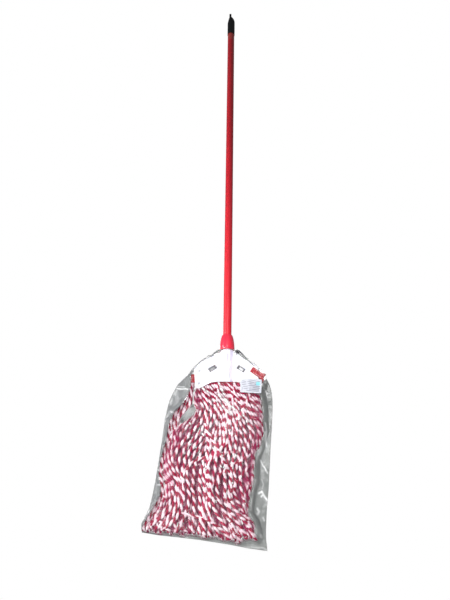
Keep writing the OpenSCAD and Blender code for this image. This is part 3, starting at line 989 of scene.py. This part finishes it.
moulded_shell("holder_front_shell", "front_shell", side=-1)
moulded_shell("holder_rear_shell", "rear_shell", side=1)

# ----------------------------------------------------------------- headband
FOLD_RADIUS = 5.6
FOLD_HEIGHT = -72.5
LEG_TOP, LEG_BOTTOM = -73.2, -90.6
TURNED_STEPS = 60
# middle line of the turned-back right end: x, y, height
TURNED_END = [(83.0, -5.6, -78.0), (88.5, -5.8, -78.3), (92.8, -8.2, -79.3),
              (94.6, -11.8, -79.0), (92.0, -15.1, -76.2), (86.0, -15.9, -72.0),
              (78.0, -15.8, -66.6), (70.0, -15.4, -61.0), (62.8, -15.1, -55.8)]


def folded_headband():
    """The tape inside the holder: its section runs up the front leg and down the rear one."""
    half_tape = 0.55
    leg = np.linspace(LEG_BOTTOM, LEG_TOP, 7)[:-1]
    section = [(-FOLD_RADIUS, height) for height in leg]
    section += [(-FOLD_RADIUS * math.cos(turn), FOLD_HEIGHT + FOLD_RADIUS * math.sin(turn))
                for turn in np.linspace(0, math.pi, 13)]
    section += [(FOLD_RADIUS, height) for height in leg[::-1]]
    section = np.array(section)
    slope = np.gradient(section, axis=0)
    normal = unit(np.stack([-slope[:, 1], slope[:, 0]], axis=1))
    loop = np.concatenate([section + normal * half_tape, (section - normal * half_tape)[::-1]])
    run = running_length(section)
    y, height = loop.T
    x = np.linspace(-91, 88.5, 91)[:, None]
    wobble = 0.28 * np.sin(x / 5.1) + 0.18 * np.sin(x / 2.3 + 1)
    points = np.stack(np.broadcast_arrays(
        x, y + wobble * 0.3, height + wobble * np.where(height > -88, 0.5, 1.0)), axis=-1)
    uv = np.stack(np.broadcast_arrays(x, np.concatenate([run, run[::-1]])), axis=-1)
    piece = face_mesh("headband_folded", points.reshape(-1, 3),
                      band_faces(len(x), len(loop), forward=True), MATERIALS["tape"])
    face_outward(piece)
    add_uv(piece.data, uv.reshape(-1, 2) * MM)
    head_part(piece, "red_tape", "headband")


def turned_end():
    """The tape's right end: out through the shell, round its edge and up over the front face.
    Returns its middle line and the direction across it."""
    thickness, columns = 1.15, 14
    share = np.linspace(0, 1, TURNED_STEPS)
    path = eased_path(TURNED_END, TURNED_STEPS, 14)
    turn = np.radians(ease(share, 0.25, 0.6) * 43)
    across = np.stack([np.sin(turn), np.zeros(TURNED_STEPS), np.cos(turn)], axis=1)
    along = unit(np.gradient(path, axis=0))
    across -= along * np.sum(across * along, axis=1, keepdims=True)
    ragged = 0.5 * np.sin(share * 90) * ease(share, 0.9, 1)
    half = 12.0 - 4.5 * ease(share, 0.3, 0.72)
    start, end = -half + ragged, half - 0.3 * ragged
    width_way = unit(across)
    normal = unit(np.cross(along, width_way))
    run = running_length(path)
    points, uv = [], []
    for side, order in ((1, range(columns + 1)), (-1, range(columns, -1, -1))):
        for j in order:
            width = start + (end - start) * (j / columns)
            thinning = 1 - 0.55 * (2 * abs(j / columns - 0.5)) ** 12
            points.append(path + width_way * width[:, None]
                          + normal * (side * thickness / 2 * thinning))
            uv.append(np.stack([run, width - start], axis=1))
    piece = face_mesh("headband_turned_end", np.stack(points, axis=1).reshape(-1, 3),
                      band_faces(TURNED_STEPS, len(points), forward=False), MATERIALS["tape"])
    face_outward(piece)
    add_uv(piece.data, np.stack(uv, axis=1).reshape(-1, 2) * MM)
    head_part(piece, "red_tape")
    return path, across


def stitch(start, end, out):
    """One short arc of thread that rises along out."""
    start, end, out = (np.array(place, float) for place in (start, end, out))
    side = np.cross(unit(end - start), out)
    steps = np.arange(13)
    share = steps / 12
    rise = 0.55 * (4 * share * (1 - share)) ** 0.5 - 0.35
    centres = start + (end - start) * share[:, None] + out * rise[:, None]
    narrowing = 0.55 + 0.45 * np.minimum(1, 5 * np.minimum(share, 1 - share) + 0.2)
    radius = 0.42 * (1 + 0.12 * np.sin(steps * 2.2)) * narrowing
    return round_tube(centres, radius, side, out, 8)


def stitching(path, across):
    """Rows of stitches along the tape and on its turned-back end."""
    arcs = []
    for side in (-1, 1):
        y = side * 6.25
        for height in (-76, -85):
            for i in range(-8, 9):
                x = i * 8.0
                arcs.append(stitch((x - 2.9, y, height + 0.4),
                                   (x + 2.9, y, height + 0.2 * math.sin(i)), (0, side, 0)))
    for offset in (-5.0, 5.0):
        row = path + across * offset + [0, -0.6, 0]
        for i in range(30, 54, 4):
            arcs.append(stitch(row[i], row[i + 3], (0, -1, 0)))
    piece = face_mesh("headband_lock_stitches", *joined(arcs), MATERIALS["thread"])
    face_outward(piece)
    head_part(piece, "thread", "headband_stitching")


folded_headband()
stitching(*turned_end())

# ---------------------------------------------------------------------- bag
BAG_ROWS, BAG_COLUMNS = 300, 150
BAG_RING = 2 * BAG_COLUMNS  # points round front and rear together
MOUTH_ROWS = 7

# edges of the bag: depths, then x
BAG_RIGHT = ([2.5, 3.2, 6, 13, 19, 25.6, 32, 41, 52, 60, 72, 82, 91, 108, 132, 158, 209, 258,
              306, 353, 398, 443, 464, 489],
             [18, 28, 36, 43, 48, 54, 62, 73, 84, 90.5, 99, 104, 108.5, 113.5, 115.5, 115, 112,
              108, 105, 102, 97, 94.5, 94.5, 97])
BAG_LEFT = ([2.5, 11, 22, 44, 71, 94, 117, 137, 161, 187, 225, 261, 298, 333, 368, 397, 424,
             448, 463, 475, 489],
            [-18, -37, -53, -80, -103, -124, -135, -143, -148, -152, -155, -158, -161, -166,
             -171, -176, -182, -187.5, -191.5, -191, -190])
# half width of the holder: depths, then distances
HOLDER = ([3, 7, 10.5, 13, 23.5, 30, 39, 51, 56, 101, 108],
          [14.2, 15.5, 19, 28, 43, 57, 69, 80, 84, 84, 82])
# left edge of what the bag holds below the holder: depths, then x
CONTENTS_LEFT = ([104, 122, 135, 147, 158, 168, 178, 186, 200, 216, 236, 246, 256, 275, 290,
                  304, 320, 332, 341, 351, 369, 378, 387, 405, 423, 441, 455, 470],
                 [-93, -96, -100, -105, -114, -123, -131, -136, -140, -140, -136, -140, -147,
                  -149, -156, -152, -155, -147, -143, -148, -147, -153, -160, -168, -178, -186,
                  -186, -184])
# how far the hem is raised: x, then distances
HEM_RISE = ([-188, -154, -58, 8, 56, 97], [36, 31, 22, 13, 5, 0])

# patches of glare: centre x, height, half width, half length, tilt in radians
GLARE = [
    (-19.3, -96.9, 2.0, 3.5, 0.62), (-12.8, -111.3, 3.2, 7, 0.62),
    (-17.5, -128.3, 3.4, 8, 0.62), (-6.3, -124.3, 2.2, 5, 0.62),
    (-1.1, -142.4, 4.2, 9, 0.62), (6.4, -153.8, 3.4, 8, 0.62),
    (17.6, -161.3, 2.4, 7, 0.62), (1.7, -169.2, 2.6, 7, 0.62),
    (11.5, -172.9, 2.2, 6, 0.62), (30.0, -187.8, 1.8, 4, 0.62),
    (-57.8, -110.6, 2.6, 6, 0.62), (-47.6, -118.3, 2.2, 5, 0.62),
    (42.3, -180.0, 1.8, 4, 0.62), (-25.9, -142.7, 1.6, 4, 0.62),
    (-8.3, -157.9, 2.0, 5, 0.62),
]
# painted highlights along creases in the front film: points of x and height, width, strength
CREASE_GLINTS = [
    ([(-126, -105), (-113, -107), (-104, -106), (-97, -112)], 1.5, 1.0),
    ([(-124, -99), (-115, -101), (-107, -101)], 1.2, 0.6),
    ([(-137, -166), (-131, -172), (-128, -178)], 2.2, 0.5),
    ([(-153, -252), (-150, -262)], 1.4, 0.4),
    ([(-160, -312), (-150, -314), (-138, -321), (-131, -332)], 1.6, 0.9),
    ([(-158, -330), (-149, -327), (-140, -333), (-137, -343)], 1.5, 0.8),
    ([(-160, -345), (-150, -347), (-143, -350)], 1.3, 0.8),
    ([(-164, -380), (-158, -388)], 1.4, 0.4),
    ([(96, -196), (99, -214), (97, -236), (99, -250)], 2.2, 0.75),
    ([(84, -284), (89, -296), (95, -304), (100, -314)], 1.7, 1.0),
    ([(79, -361), (86, -357), (91, -366), (99, -377)], 2.2, 1.0),
    ([(85, -368), (90, -363)], 2.0, 0.9),
    ([(75, -396), (79, -402), (76, -408)], 2.6, 0.6),
    ([(88, -416), (91, -422)], 2.0, 0.5),
    ([(86, -330), (90, -340), (87, -350)], 1.6, 0.4),
    ([(60, -480), (74, -482), (90, -481)], 1.2, 0.4),
    ([(99, -110), (104, -116), (110, -114)], 1.4, 0.7),
]


class Coverage:
    """What the strands fill, on a grid over x and height: how far out they reach on the front
    (side -1) and rear (side 1), and where they cover the camera's view of the film."""

    LEFT, TOP, CELL = -209.0, -60.0, 2.0
    ROWS, COLUMNS = 226, 176

    def __init__(self):
        surface = np.concatenate(yarn_surface)
        self.reach = {side: self.reached(surface * [1, side, 1]) for side in (-1, 1)}
        near, far = (self.mark(*self.seen_at(surface, y)) for y in (-18.0, 18.0))
        self.near = self.filtered(self.close_gaps(near), np.mean, 2)
        self.far = self.filtered(far, np.mean, 1)
        flat = self.close_gaps(self.mark(surface[:, 0], surface[:, 2]))
        self.flat = self.filtered(flat, np.mean, 1)
        # beside the stray lock the rear film stays faintly hazy a little way over the strands
        rows, columns = self.cell(np.array([-134.0, -84.0]), np.array([-112.0, -196.0]))
        window = slice(*rows), slice(*columns)
        flat[window] = self.filtered(flat, np.min, 4)[window]
        self.rim = self.filtered(flat, np.mean, 2)

    def cell(self, x, height):
        return (np.clip(((self.TOP - height) / self.CELL).astype(int), 0, self.ROWS - 1),
                np.clip(((x - self.LEFT) / self.CELL).astype(int), 0, self.COLUMNS - 1))

    def reached(self, points):
        grid = np.zeros((self.ROWS, self.COLUMNS))
        np.maximum.at(grid, self.cell(points[:, 0], points[:, 2]), points[:, 1])
        return self.filtered(self.filtered(grid, np.max, 2), np.mean, 2)

    def seen_at(self, points, y):
        """Where the lines of sight to the points cross the plane at y: x and height."""
        eye = np.array(EYE)
        share = ((y - eye[1]) / (points[:, 1] - eye[1]))[:, None]
        crossing = eye + (points - eye) * share
        return crossing[:, 0], crossing[:, 2]

    def mark(self, x, height):
        grid = np.zeros((self.ROWS, self.COLUMNS))
        grid[self.cell(x, height)] = 1
        return grid

    @staticmethod
    def filtered(grid, pick, rounds):
        """Take the max, min or mean of each cell's three by three block."""
        rows, columns = grid.shape
        for _ in range(rounds):
            wide = np.pad(grid, 1, mode="edge")
            grid = pick([wide[i:i + rows, j:j + columns]
                         for i in range(3) for j in range(3)], axis=0)
        return grid

    def close_gaps(self, grid):
        return self.filtered(self.filtered(grid, np.max, 2), np.min, 2)

    def at(self, grid, x, height):
        across = np.clip((x - self.LEFT) / self.CELL - 0.5, 0, self.COLUMNS - 1.001)
        down = np.clip((self.TOP - height) / self.CELL - 0.5, 0, self.ROWS - 1.001)
        i, j = down.astype(int), across.astype(int)
        return bilinear(grid, i, j, down - i, across - j)


def contents(height):
    """Left edge, right edge and half depth of what the bag holds at a height."""
    if height <= -104:
        return (profile(height, *CONTENTS_LEFT) + 2, right_edge(height) - 2,
                half_thickness(height) + 3.0)
    right = profile(height, *HOLDER) + 2
    left = -right
    depth = profile(height, [0, 30, 45, 100], [15.2, 15.2, 16.4, 16.8])
    if height < -56:
        # room for the headband's ends
        left = left - profile(height, [56, 66, 92, 104], [0, 6, 5, 6])
        right = profile(height, [56, 62, 84, 92, 104], [right, 97, 96, 90, 88])
    return left, right, depth


def bag_row(level, across):
    """One level of the bag: x, height, half depth and haze at each share across."""
    bag_left, bag_right = profile(level, *BAG_LEFT), profile(level, *BAG_RIGHT)
    x = bag_left + (bag_right - bag_left) * across
    # the hem slopes: it hangs lower at the right
    height = level + ease(-level, 380, 489) * np.interp(x, *HEM_RISE)
    left, right, full = contents(level)
    past_tips = -height + tip_height(x)
    full = full * (1 - 0.9 * ease(past_tips, -2, 7))
    left, right = max(left, bag_left + 2.0), min(right, bag_right - 2.0)
    margin = np.where(x < left, left - x, np.where(x > right, x - right, -1.5))
    room = np.maximum(np.where(x < left, left - bag_left, bag_right - right), 3)
    fall = np.clip(np.maximum(margin, 0) / np.minimum(14, room), 0, 1)
    thin = 1.1
    depth = thin + (full - thin) * np.cos(fall * np.pi / 2) ** 1.3
    # soft crown across the contents
    half = max((right - left) / 2, 1)
    crown = np.clip(1 - ((x - (left + right) / 2) / half) ** 2, 0, 1)
    depth = depth + 1.2 * crown * ease(-level, 60, 160) * (1 - ease(-level, 400, 470))
    # round over at the two side folds
    rim = np.clip(np.minimum(x - bag_left, bag_right - x) / 1.4, 0, 1)
    depth = depth * np.sqrt(1 - (1 - rim) ** 2 + 0.02)
    below = ease(-level, 46, 66)
    haze = np.maximum(np.clip((margin + 1.5) / 4, 0, 1) * below, ease(past_tips, -1, 4))
    haze = np.maximum(haze, 0.75 * np.clip(margin / 5, 0, 1) * (0.25 + 0.75 * below))
    return x, height, depth, haze


def creases(seeds, u, v):
    """Sharp ridges at three sizes."""
    total = 0
    sizes = ((1.3, 9, 22), (1.0, 26, 18), (0.5, 60, 42))  # strength, columns, rows
    for seed, (strength, columns, rows) in zip(seeds, sizes):
        total = total + strength * (1 - np.abs(random_field(seed, columns, rows)(u, v))) ** 3
    return total


def bag_sides():
    """Both films as rings of points, front then rear, with their haze."""
    levels = -2.5 - (np.linspace(0, 1, BAG_ROWS) ** 1.12) * 485.5
    # columns are closer together at both edges, where the film turns over
    across = 0.5 - 0.5 * np.cos(np.pi * (0.03 + 0.94 * np.linspace(0, 1, BAG_COLUMNS)))
    across = (across - across[0]) / (across[-1] - across[0])
    rows = [bag_row(level, across) for level in levels]
    x, height, depth, margin_haze = (np.array(part) for part in zip(*rows))

    # below the holder the film turns hazy wherever no strand lies against it
    cover = Coverage()

    def bare(grid, start, end):
        return ease(1 - grid, start, end)

    low = ease(-height, 96, 108)
    front_haze = (margin_haze * (1 - low)
                  + bare(cover.at(cover.near, x, height), 0.25, 0.75) * low)
    behind = np.minimum(cover.at(cover.far, x, height), cover.at(cover.flat, x, height))
    rear_haze = front_haze * (1 - low) + bare(behind, 0.15, 0.6) * low
    rear_haze = np.maximum(rear_haze, 0.35 * bare(cover.at(cover.rim, x, height), 0.2, 0.8) * low)

    u, v = (x + 195) / 315, -height / 495
    swell = random_field(21, 7, 9)(u, v)
    flutter = margin_haze * (3.0 * swell + 1.6 * random_field(22, 22, 30)(u, v))
    flutter *= ease(-height, 20, 90)
    # folds that run from the neck to the shoulders
    angle = np.arctan2(x, -(height - 6))
    away = np.hypot(x, height - 6)
    pleat = ((1 - ease(-height, 4, 60)) * 1.1 * np.sin(angle * 26 + 2 * swell)
             * np.clip(away / 30, 0.3, 1))
    snug = ease(-height, 100, 116)
    seal = ease(-levels, 480, 486)[:, None]
    films = []
    for side, seeds in ((-1, (31, 32, 23)), (1, (41, 42, 43))):
        relief = creases(seeds, u, v) * (1 - 0.55 * margin_haze) * np.minimum(depth / 6, 1)
        y = side * (depth + relief + np.abs(pleat)) + flutter
        # the film is stretched over the strands that stand proud
        proud = cover.at(cover.reach[side], x, height) * snug + 0.9
        y = np.where(snug > 0, side * np.maximum(side * y, proud), y)
        # the sealed hem: both films pressed together
        y = y * (1 - seal) + (flutter * (1 - 0.4 * seal) + side * 0.55) * seal
        films.append(np.stack([x, y, height], axis=-1))
    return (np.concatenate([films[0], films[1][:, ::-1]], axis=1),
            np.concatenate([front_haze, rear_haze[:, ::-1]], axis=1))


def bag_mouth(first):
    """Rows above the first one, tucked round the neck and standing in short pleats."""
    rows, haze = [], []
    for i in range(MOUTH_ROWS):
        share = i / MOUTH_ROWS
        pleat = 0.9 * np.sin(np.arange(BAG_RING) * 2 * np.pi / 11) * (1 - share)
        row = first.copy()
        row[:, 0] = (first[:, 0] * (0.93 + 0.07 * share)
                     + pleat * 0.35 * np.sign(first[:, 0]))
        row[:, 1] = (first[:, 1] * (0.95 + 0.05 * share)
                     + pleat * 0.35 * np.sign(first[:, 1]))
        row[:, 2] = first[:, 2] + (1 - share) * 1.3 + pleat * 0.5
        rows.append(row)
        haze.append(np.full(BAG_RING, 0.75 * (1 - share) + 0.25 * share))
    return np.array(rows), np.array(haze)


def crease_glints(x, height):
    """Strength of the painted highlights along the creases."""
    white = np.zeros(x.shape)
    for line, width, strength in CREASE_GLINTS:
        line = np.array(line, float)
        nearest = np.full(x.shape, 1e9)
        for start, end in zip(line, line[1:]):
            leg = end - start
            from_x, from_height = x - start[0], height - start[1]
            share = np.clip((from_x * leg[0] + from_height * leg[1]) / (leg @ leg), 0, 1)
            distance = np.hypot(from_x - share * leg[0], from_height - share * leg[1])
            nearest = np.minimum(nearest, distance)
        white = np.maximum(white, 0.8 * strength * np.exp(-(nearest / width) ** 2))
    return white


def glare(x, height):
    """Small bright patches drawn out along the strands: the table's, and scattered ones."""
    random = np.random.default_rng(77)
    scattered = [(random.normal(2, 34), -190 - 240 * random.uniform() ** 1.2,
                  random.uniform(0.9, 1.8), random.uniform(2.0, 4.5), random.uniform(-0.5, 0.6))
                 for _ in range(34)]
    bright = np.zeros(x.shape)
    for centre_x, centre_height, half_width, half_length, tilt in GLARE + scattered:
        from_x, from_height = x - centre_x, height - centre_height
        sin, cos = math.sin(tilt), math.cos(tilt)
        wide = (from_x * cos + from_height * sin) / half_width
        tall = (-from_x * sin + from_height * cos) / half_length
        spot = np.clip(1.5 * np.exp(-(wide * wide + tall * tall)), 0, 1)
        bright = np.maximum(bright, spot)
    return bright


def bag():
    sides, side_haze = bag_sides()
    mouth, mouth_haze = bag_mouth(sides[0])
    points = np.concatenate([mouth, sides])
    haze = np.concatenate([mouth_haze, side_haze])
    x, height = points[:, :, 0], points[:, :, 2]
    front = np.zeros(haze.shape, bool)
    front[MOUTH_ROWS:, :BAG_COLUMNS] = True
    # painted highlights along the creases; the film is also pushed out there a little
    white = crease_glints(x, height) * front
    points[:, :, 1] -= 1.1 * white
    # painted glare: bright patches in the film's colour, made hazy so that they show
    bright = glare(x, height) * front
    haze = np.maximum(haze, 0.92 * bright)
    rows = len(points)
    # the last quads close the lower edge
    quads = np.concatenate([ring_quads(rows, BAG_RING)[:-0 or None, [0, 3, 2, 1]],
                            flat_end((rows - 1) * BAG_RING, BAG_RING, forward=False)])
    piece = quad_mesh("bag_film", points.reshape(-1, 3), quads, [MATERIALS["film"]],
                      {"haze": haze.reshape(-1) * 0.95 + 0.01,
                       "glint": np.maximum(white, bright).reshape(-1)})
    face_outward(piece)
    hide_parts("poly_bag")
    hang(piece)


bag()

# the gathered mouth leans to the right: its foot, its axis and two directions across it
NECK = np.array([25.0, 0.0, -10.5])
NECK_TILT = math.radians(20)
NECK_AXIS = np.array([math.sin(NECK_TILT), 0, math.cos(NECK_TILT)])
NECK_ACROSS = np.array([math.cos(NECK_TILT), 0, -math.sin(NECK_TILT)])
NECK_REAR = np.array([0.0, 1.0, 0.0])
TIE_RISE = 5.3  # the tie's place along the axis


def gathered_mouth():
    """The spare film of the mouth, drawn together by the tie and fanned out above it."""
    sides, rows = 44, 40
    share = np.linspace(0, 1, rows)[:, None]
    rise = -1.5 + 13.0 * share
    angle = 2 * math.pi * np.arange(sides) / sides
    radius = np.interp(rise, [-1.5, 1.5, 4.0, TIE_RISE, 6.6, 9.0, 11.5],
                       [6.2, 4.2, 3.0, 2.7, 3.0, 4.6, 6.0])
    fold = (1 + 0.20 * np.sin(7 * angle + 2.4 * share) * np.abs(rise - TIE_RISE) / 6
            + 0.07 * np.sin(13 * angle + 2))
    lift = 0.9 * np.sin(5 * angle) * ease(rise, 7, 11.5)
    around = np.cos(angle)[:, None] * NECK_ACROSS + np.sin(angle)[:, None] * NECK_REAR
    outer = NECK + NECK_AXIS * (rise + lift)[..., None] + around * (radius * fold)[..., None]
    centres = NECK + NECK_AXIS * np.linspace(-1.5, 11.5, rows)[:, None]
    inner = centres[:, None, :] + (outer - centres[:, None, :]) * 0.86
    points = np.concatenate([outer, inner[::-1]])
    haze = 0.55 + 0.3 * np.sin(7 * angle)
    haze = np.concatenate([np.tile(haze, rows), np.tile(haze[::-1], rows)])
    piece = quad_mesh("bag_gathered_mouth", points.reshape(-1, 3),
                      ring_quads(2 * rows, sides, closed=True), [MATERIALS["film"]],
                      {"haze": haze})
    face_outward(piece)
    head_part(piece, "clear_film")


gathered_mouth()

# rolls of film between the neck and the shoulders: x, y, height, radius
SHOULDER_FOLDS = [
    [(20, -6, -3.5, 1.2), (29, -8, -3.2, 2.0), (36, -10, -9, 1.8), (44, -12.5, -19, 1.7),
     (52, -14.4, -29, 1.5), (60, -15, -37.5, 1.2), (69, -15, -47, 0.4)],
    [(24, -13, -9, 0.8), (31, -14.8, -15, 1.3), (39, -15, -22, 1.2), (47, -15, -28.5, 1.1),
     (53, -15, -32, 0.5)],
    [(-15, -13, -3.2, 1.6), (-21, -14.0, -4.2, 2.2), (-28, -13.5, -8.0, 1.7),
     (-35, -12, -14, 1.4), (-42, -10, -20.5, 1.0), (-46, -8, -24, 0.4)],
    [(-36, -14.5, -19, 0.5), (-41, -14.8, -21.2, 1.2), (-47, -14.6, -19.5, 1.0),
     (-52, -13.5, -23, 0.4)],
    [(-53, -12, -24, 0.4), (-62, -12, -30.5, 0.8), (-70, -11, -38, 0.7), (-80, -8, -47, 0.4)],
]


def shoulder_folds():
    steps = 46
    share = np.linspace(0, 1, steps)
    tubes = []
    for k, run in enumerate(SHOULDER_FOLDS):
        run = np.array(run, float)
        path = eased_path(run[:, :3], steps, 12)
        path[:, 2] += 0.35 * np.sin(share * 23 + k)
        radius = np.interp(share, np.linspace(0, 1, len(run)), run[:, 3])
        tubes.append(sweep(path, radius * (1 + 0.14 * np.sin(share * 31 + 2 * k)), sides=10))
    points, faces = joined(tubes)
    piece = face_mesh("bag_shoulder_folds", points, faces, MATERIALS["film"])
    add_attribute(piece.data, "haze", np.full(len(points), 0.93))
    face_outward(piece)
    head_part(piece, "clear_film")


shoulder_folds()

TWIST_END = (28.2, -18.6, -5.7)
# twisted pairs of wire: control points, steps, turns, distance of each wire from the middle
TWISTS = [
    ([(26.6, -4.4, -5.5), (27.4, -9, -5.1), (28, -15, -4.9), TWIST_END], 60, 4, 0.42),
    ([TWIST_END, (27.6, -19.6, -8), (26, -19.6, -13), (23.6, -19.4, -19)], 60, 3, 0.34),
    ([TWIST_END, (29.8, -19.7, -7.5), (34, -19.7, -12), (40, -19.4, -19)], 50, 3, 0.34),
]


def twist_tie():
    """Two coated wires looped round the gathered mouth and twisted together in front."""
    centre = NECK + NECK_AXIS * TIE_RISE
    angle = np.linspace(-math.pi / 2, 1.5 * math.pi, 90)[:, None]
    loop = centre + (NECK_ACROSS * np.cos(angle) + NECK_REAR * np.sin(angle)) * 4.25
    tubes = [sweep(loop + NECK_AXIS * rise, 0.6) for rise in (0.55, -0.55)]
    for controls, steps, turns, offset in TWISTS:
        path = eased_path(controls, steps, 10)
        along = unit(np.gradient(path, axis=0))
        across = unit(np.cross(along, [1.0, 0.1, 0.0]))
        up = np.cross(along, across)
        for start in (0, math.pi):
            turn = (2 * math.pi * turns * np.linspace(0, 1, steps) + start)[:, None]
            tubes.append(sweep(path + offset * (np.cos(turn) * across + np.sin(turn) * up), 0.52))
    piece = face_mesh("neck_twist_tie", *joined(tubes), MATERIALS["tie"])
    face_outward(piece)
    head_part(piece, "tie_plastic", "neck_tie")


twist_tie()


# -------------------------------------------------------------------- label
def label_paper():
    """Pale paper with uneven grey bars, a darker block and a blue patch."""
    m = Principled("label_sticker")
    uv = m.uv()
    u, v, _ = m.node("SeparateXYZ", {0: uv}).outputs
    slant = m.math("ADD", v, m.math("MULTIPLY", u, 0.10))
    rows = m.math("FRACT", m.math("MULTIPLY", slant, 8.0))
    bars = m.ramp(rows, (0.30, 0), (0.34, 1), (0.62, 1), (0.66, 0))
    stretched = m.node("Mapping", {"Vector": uv, "Scale": (5, 9, 1)}).outputs[0]
    cuts = m.ramp(m.noise(stretched, scale=1.0, detail=0), (0.38, 0), (0.41, 1))
    printed = m.math("MULTIPLY", m.within(u, 0.07, 0.93), m.within(v, 0.10, 0.9))
    ink = m.math("MULTIPLY", m.math("MULTIPLY", bars, cuts), printed)
    ink = m.math("MULTIPLY", ink, 0.75)
    patch = m.math("MULTIPLY", m.within(u, 0.74, 0.92), m.within(v, 0.55, 0.80))
    paper = m.ramp(m.noise(m.coords(), scale=60),
                   (0.3, srgb(188, 190, 200)), (0.7, srgb(206, 208, 218)))
    block = m.math("MULTIPLY", m.within(u, 0.42, 0.90), m.within(slant, 0.16, 0.86))
    ground = m.mix(m.math("MULTIPLY", block, 0.4), paper, srgb(128, 130, 142))
    inked = m.mix(ink, ground, srgb(92, 94, 108))
    m.set(Base_Color=m.mix(m.math("MULTIPLY", patch, 0.8), inked, srgb(120, 206, 222)),
          Roughness=0.62, Specular_IOR_Level=0.2,
          Normal=m.bump(m.noise(m.coords(), scale=90), strength=0.3, distance=0.0008))
    return m


def label():
    """A slightly wavy sticker with rounded corners, as a front and a rear layer."""
    columns, rows = 40, 28
    width, height, corner = 53, 37, 2.5
    centre_x, centre_y, centre_height = 61, -20.6, -102
    thickness = 0.28
    cos, sin = math.cos(math.radians(-3)), math.sin(math.radians(-3))
    points, uv = [], []
    for back in (0, thickness):
        for j in range(rows + 1):
            for i in range(columns + 1):
                u, v = i / columns, j / rows
                x, z = (u - 0.5) * width, (v - 0.5) * height
                over_x = max(abs(x) - (width / 2 - corner), 0)
                over_z = max(abs(z) - (height / 2 - corner), 0)
                reach = math.hypot(over_x, over_z)
                if over_x > 0 and over_z > 0 and reach > corner:
                    shrink = corner / reach
                    x = math.copysign(width / 2 - corner + over_x * shrink, x)
                    z = math.copysign(height / 2 - corner + over_z * shrink, z)
                wave = (0.45 * math.sin(u * 5 + 0.6) * math.sin(v * 4 + 1)
                        + 0.25 * math.sin(u * 13 + v * 6))
                points.append((centre_x + x * cos - z * sin, centre_y + wave + back,
                               centre_height + x * sin + z * cos))
                uv.append((u, v))
    row = columns + 1
    layer = row * (rows + 1)
    faces = []
    for j in range(rows):
        for i in range(columns):
            a = j * row + i
            faces.append((a, a + 1, a + row + 1, a + row))
            faces.append((layer + a, layer + a + row, layer + a + row + 1, layer + a + 1))
    for i in range(columns):
        faces.append((i, layer + i, layer + i + 1, i + 1))
        a = rows * row + i
        faces.append((a, a + 1, layer + a + 1, layer + a))
    for j in range(rows):
        a = j * row
        faces.append((a, a + row, layer + a + row, layer + a))
        a += columns
        faces.append((a, layer + a, layer + a + row, a + row))
    piece = face_mesh("bag_sticker", points, faces, label_paper().data)
    add_uv(piece.data, uv)
    head_part(piece, "label", "bag_label")


label()


# -------------------------------------------------------------------- stage
def floor():
    half, z = 6.0, BASE - 0.76  # metres
    mesh = bpy.data.meshes.new("floor")
    corners = [(-half, -half, z), (half, -half, z), (half, half, z), (-half, half, z)]
    mesh.from_pydata(corners, [], [(0, 1, 2, 3)])
    m = Principled("floor_paint")
    paint = m.ramp(m.noise(m.coords(), scale=6, detail=3), (0.3, 0.80), (0.7, 0.84))
    # lifted for the camera alone, so that the floor reads pale without lighting the mop
    camera_ray = m.node("LightPath").outputs["Is Camera Ray"]
    m.set(Base_Color=paint, Roughness=0.7, Emission_Color=(1, 1, 1),
          Emission_Strength=m.math("MULTIPLY", camera_ray, 0.56))
    mesh.materials.append(m.data)
    add_object("floor", mesh)


def world():
    """White to the camera, a dim cool ambient to everything else."""
    made = bpy.data.worlds.new("studio")
    bpy.context.scene.world = made
    w = Shader(made, "OutputWorld")
    seen = w.node("Background", {0: (1, 1, 1), 1: 1.0}).outputs[0]
    ambient = w.node("Background", {0: (0.93, 0.96, 1), 1: 0.17}).outputs[0]
    camera_ray = w.node("LightPath").outputs["Is Camera Ray"]
    w.feed(w.node("MixShader", {0: camera_ray, 1: ambient, 2: seen}).outputs[0], w.output)


def area(name, place, target, size, power, colour=(1, 1, 1), spread=180):
    """An area light. Metres, heights from the nut's rim; spread in degrees."""
    light = bpy.data.lights.new(name, "AREA")
    light.shape = "RECTANGLE"
    light.size, light.size_y = size
    light.energy = power
    light.color = colour
    light.spread = math.radians(spread)
    lamp = add_object(name, light)
    rim = Vector((0, 0, BASE))
    lamp.location = Vector(place) + rim
    aim = Vector(target) - Vector(place)
    lamp.rotation_euler = aim.to_track_quat("-Z", "Y").to_euler()


def lights():
    skirt = (-0.03, 0, -0.27)
    area("key", (-1.35, -1.45, -0.35), skirt, size=(0.6, 0.7), power=4.4,
         colour=(1, 0.985, 0.96), spread=75)
    area("front", (-0.35, -1.85, -0.65), skirt, size=(0.6, 0.5), power=2.6, spread=60)
    area("flash", (0.03, -1.6, 0.37), (0, 0, -0.22), size=(0.34, 0.34), power=1.4, spread=60)
    area("side", (-1.75, -0.75, 0.25), (0, 0, 0.45), size=(0.5, 1.5), power=17)
    area("back", (-0.7, 1.7, 0.2), (-0.03, 0, -0.1), size=(1.2, 1.2), power=21)
    area("fill", (1.9, 0.35, -0.55), skirt, size=(0.7, 0.7), power=1.1, spread=50)


def camera():
    """In front of the mop and below it, looking up at the skirt."""
    data = bpy.data.cameras.new("camera")
    data.lens = 39.0
    data.sensor_width = 36.0
    data.clip_end = 50
    made = add_object("camera", data)
    right = Vector((0.99991, 0, 0.01306))
    up = Vector((-0.01164, -0.45278, 0.89155))
    forward = Vector((-0.00591, 0.89162, 0.45274))
    turn = Matrix((right, up, -forward)).transposed().to_4x4()
    made.matrix_world = Matrix.Translation(point(*EYE)) @ turn
    bpy.context.scene.camera = made


floor()
world()
lights()
camera()
bpy.context.scene.view_settings.view_transform = "Standard"
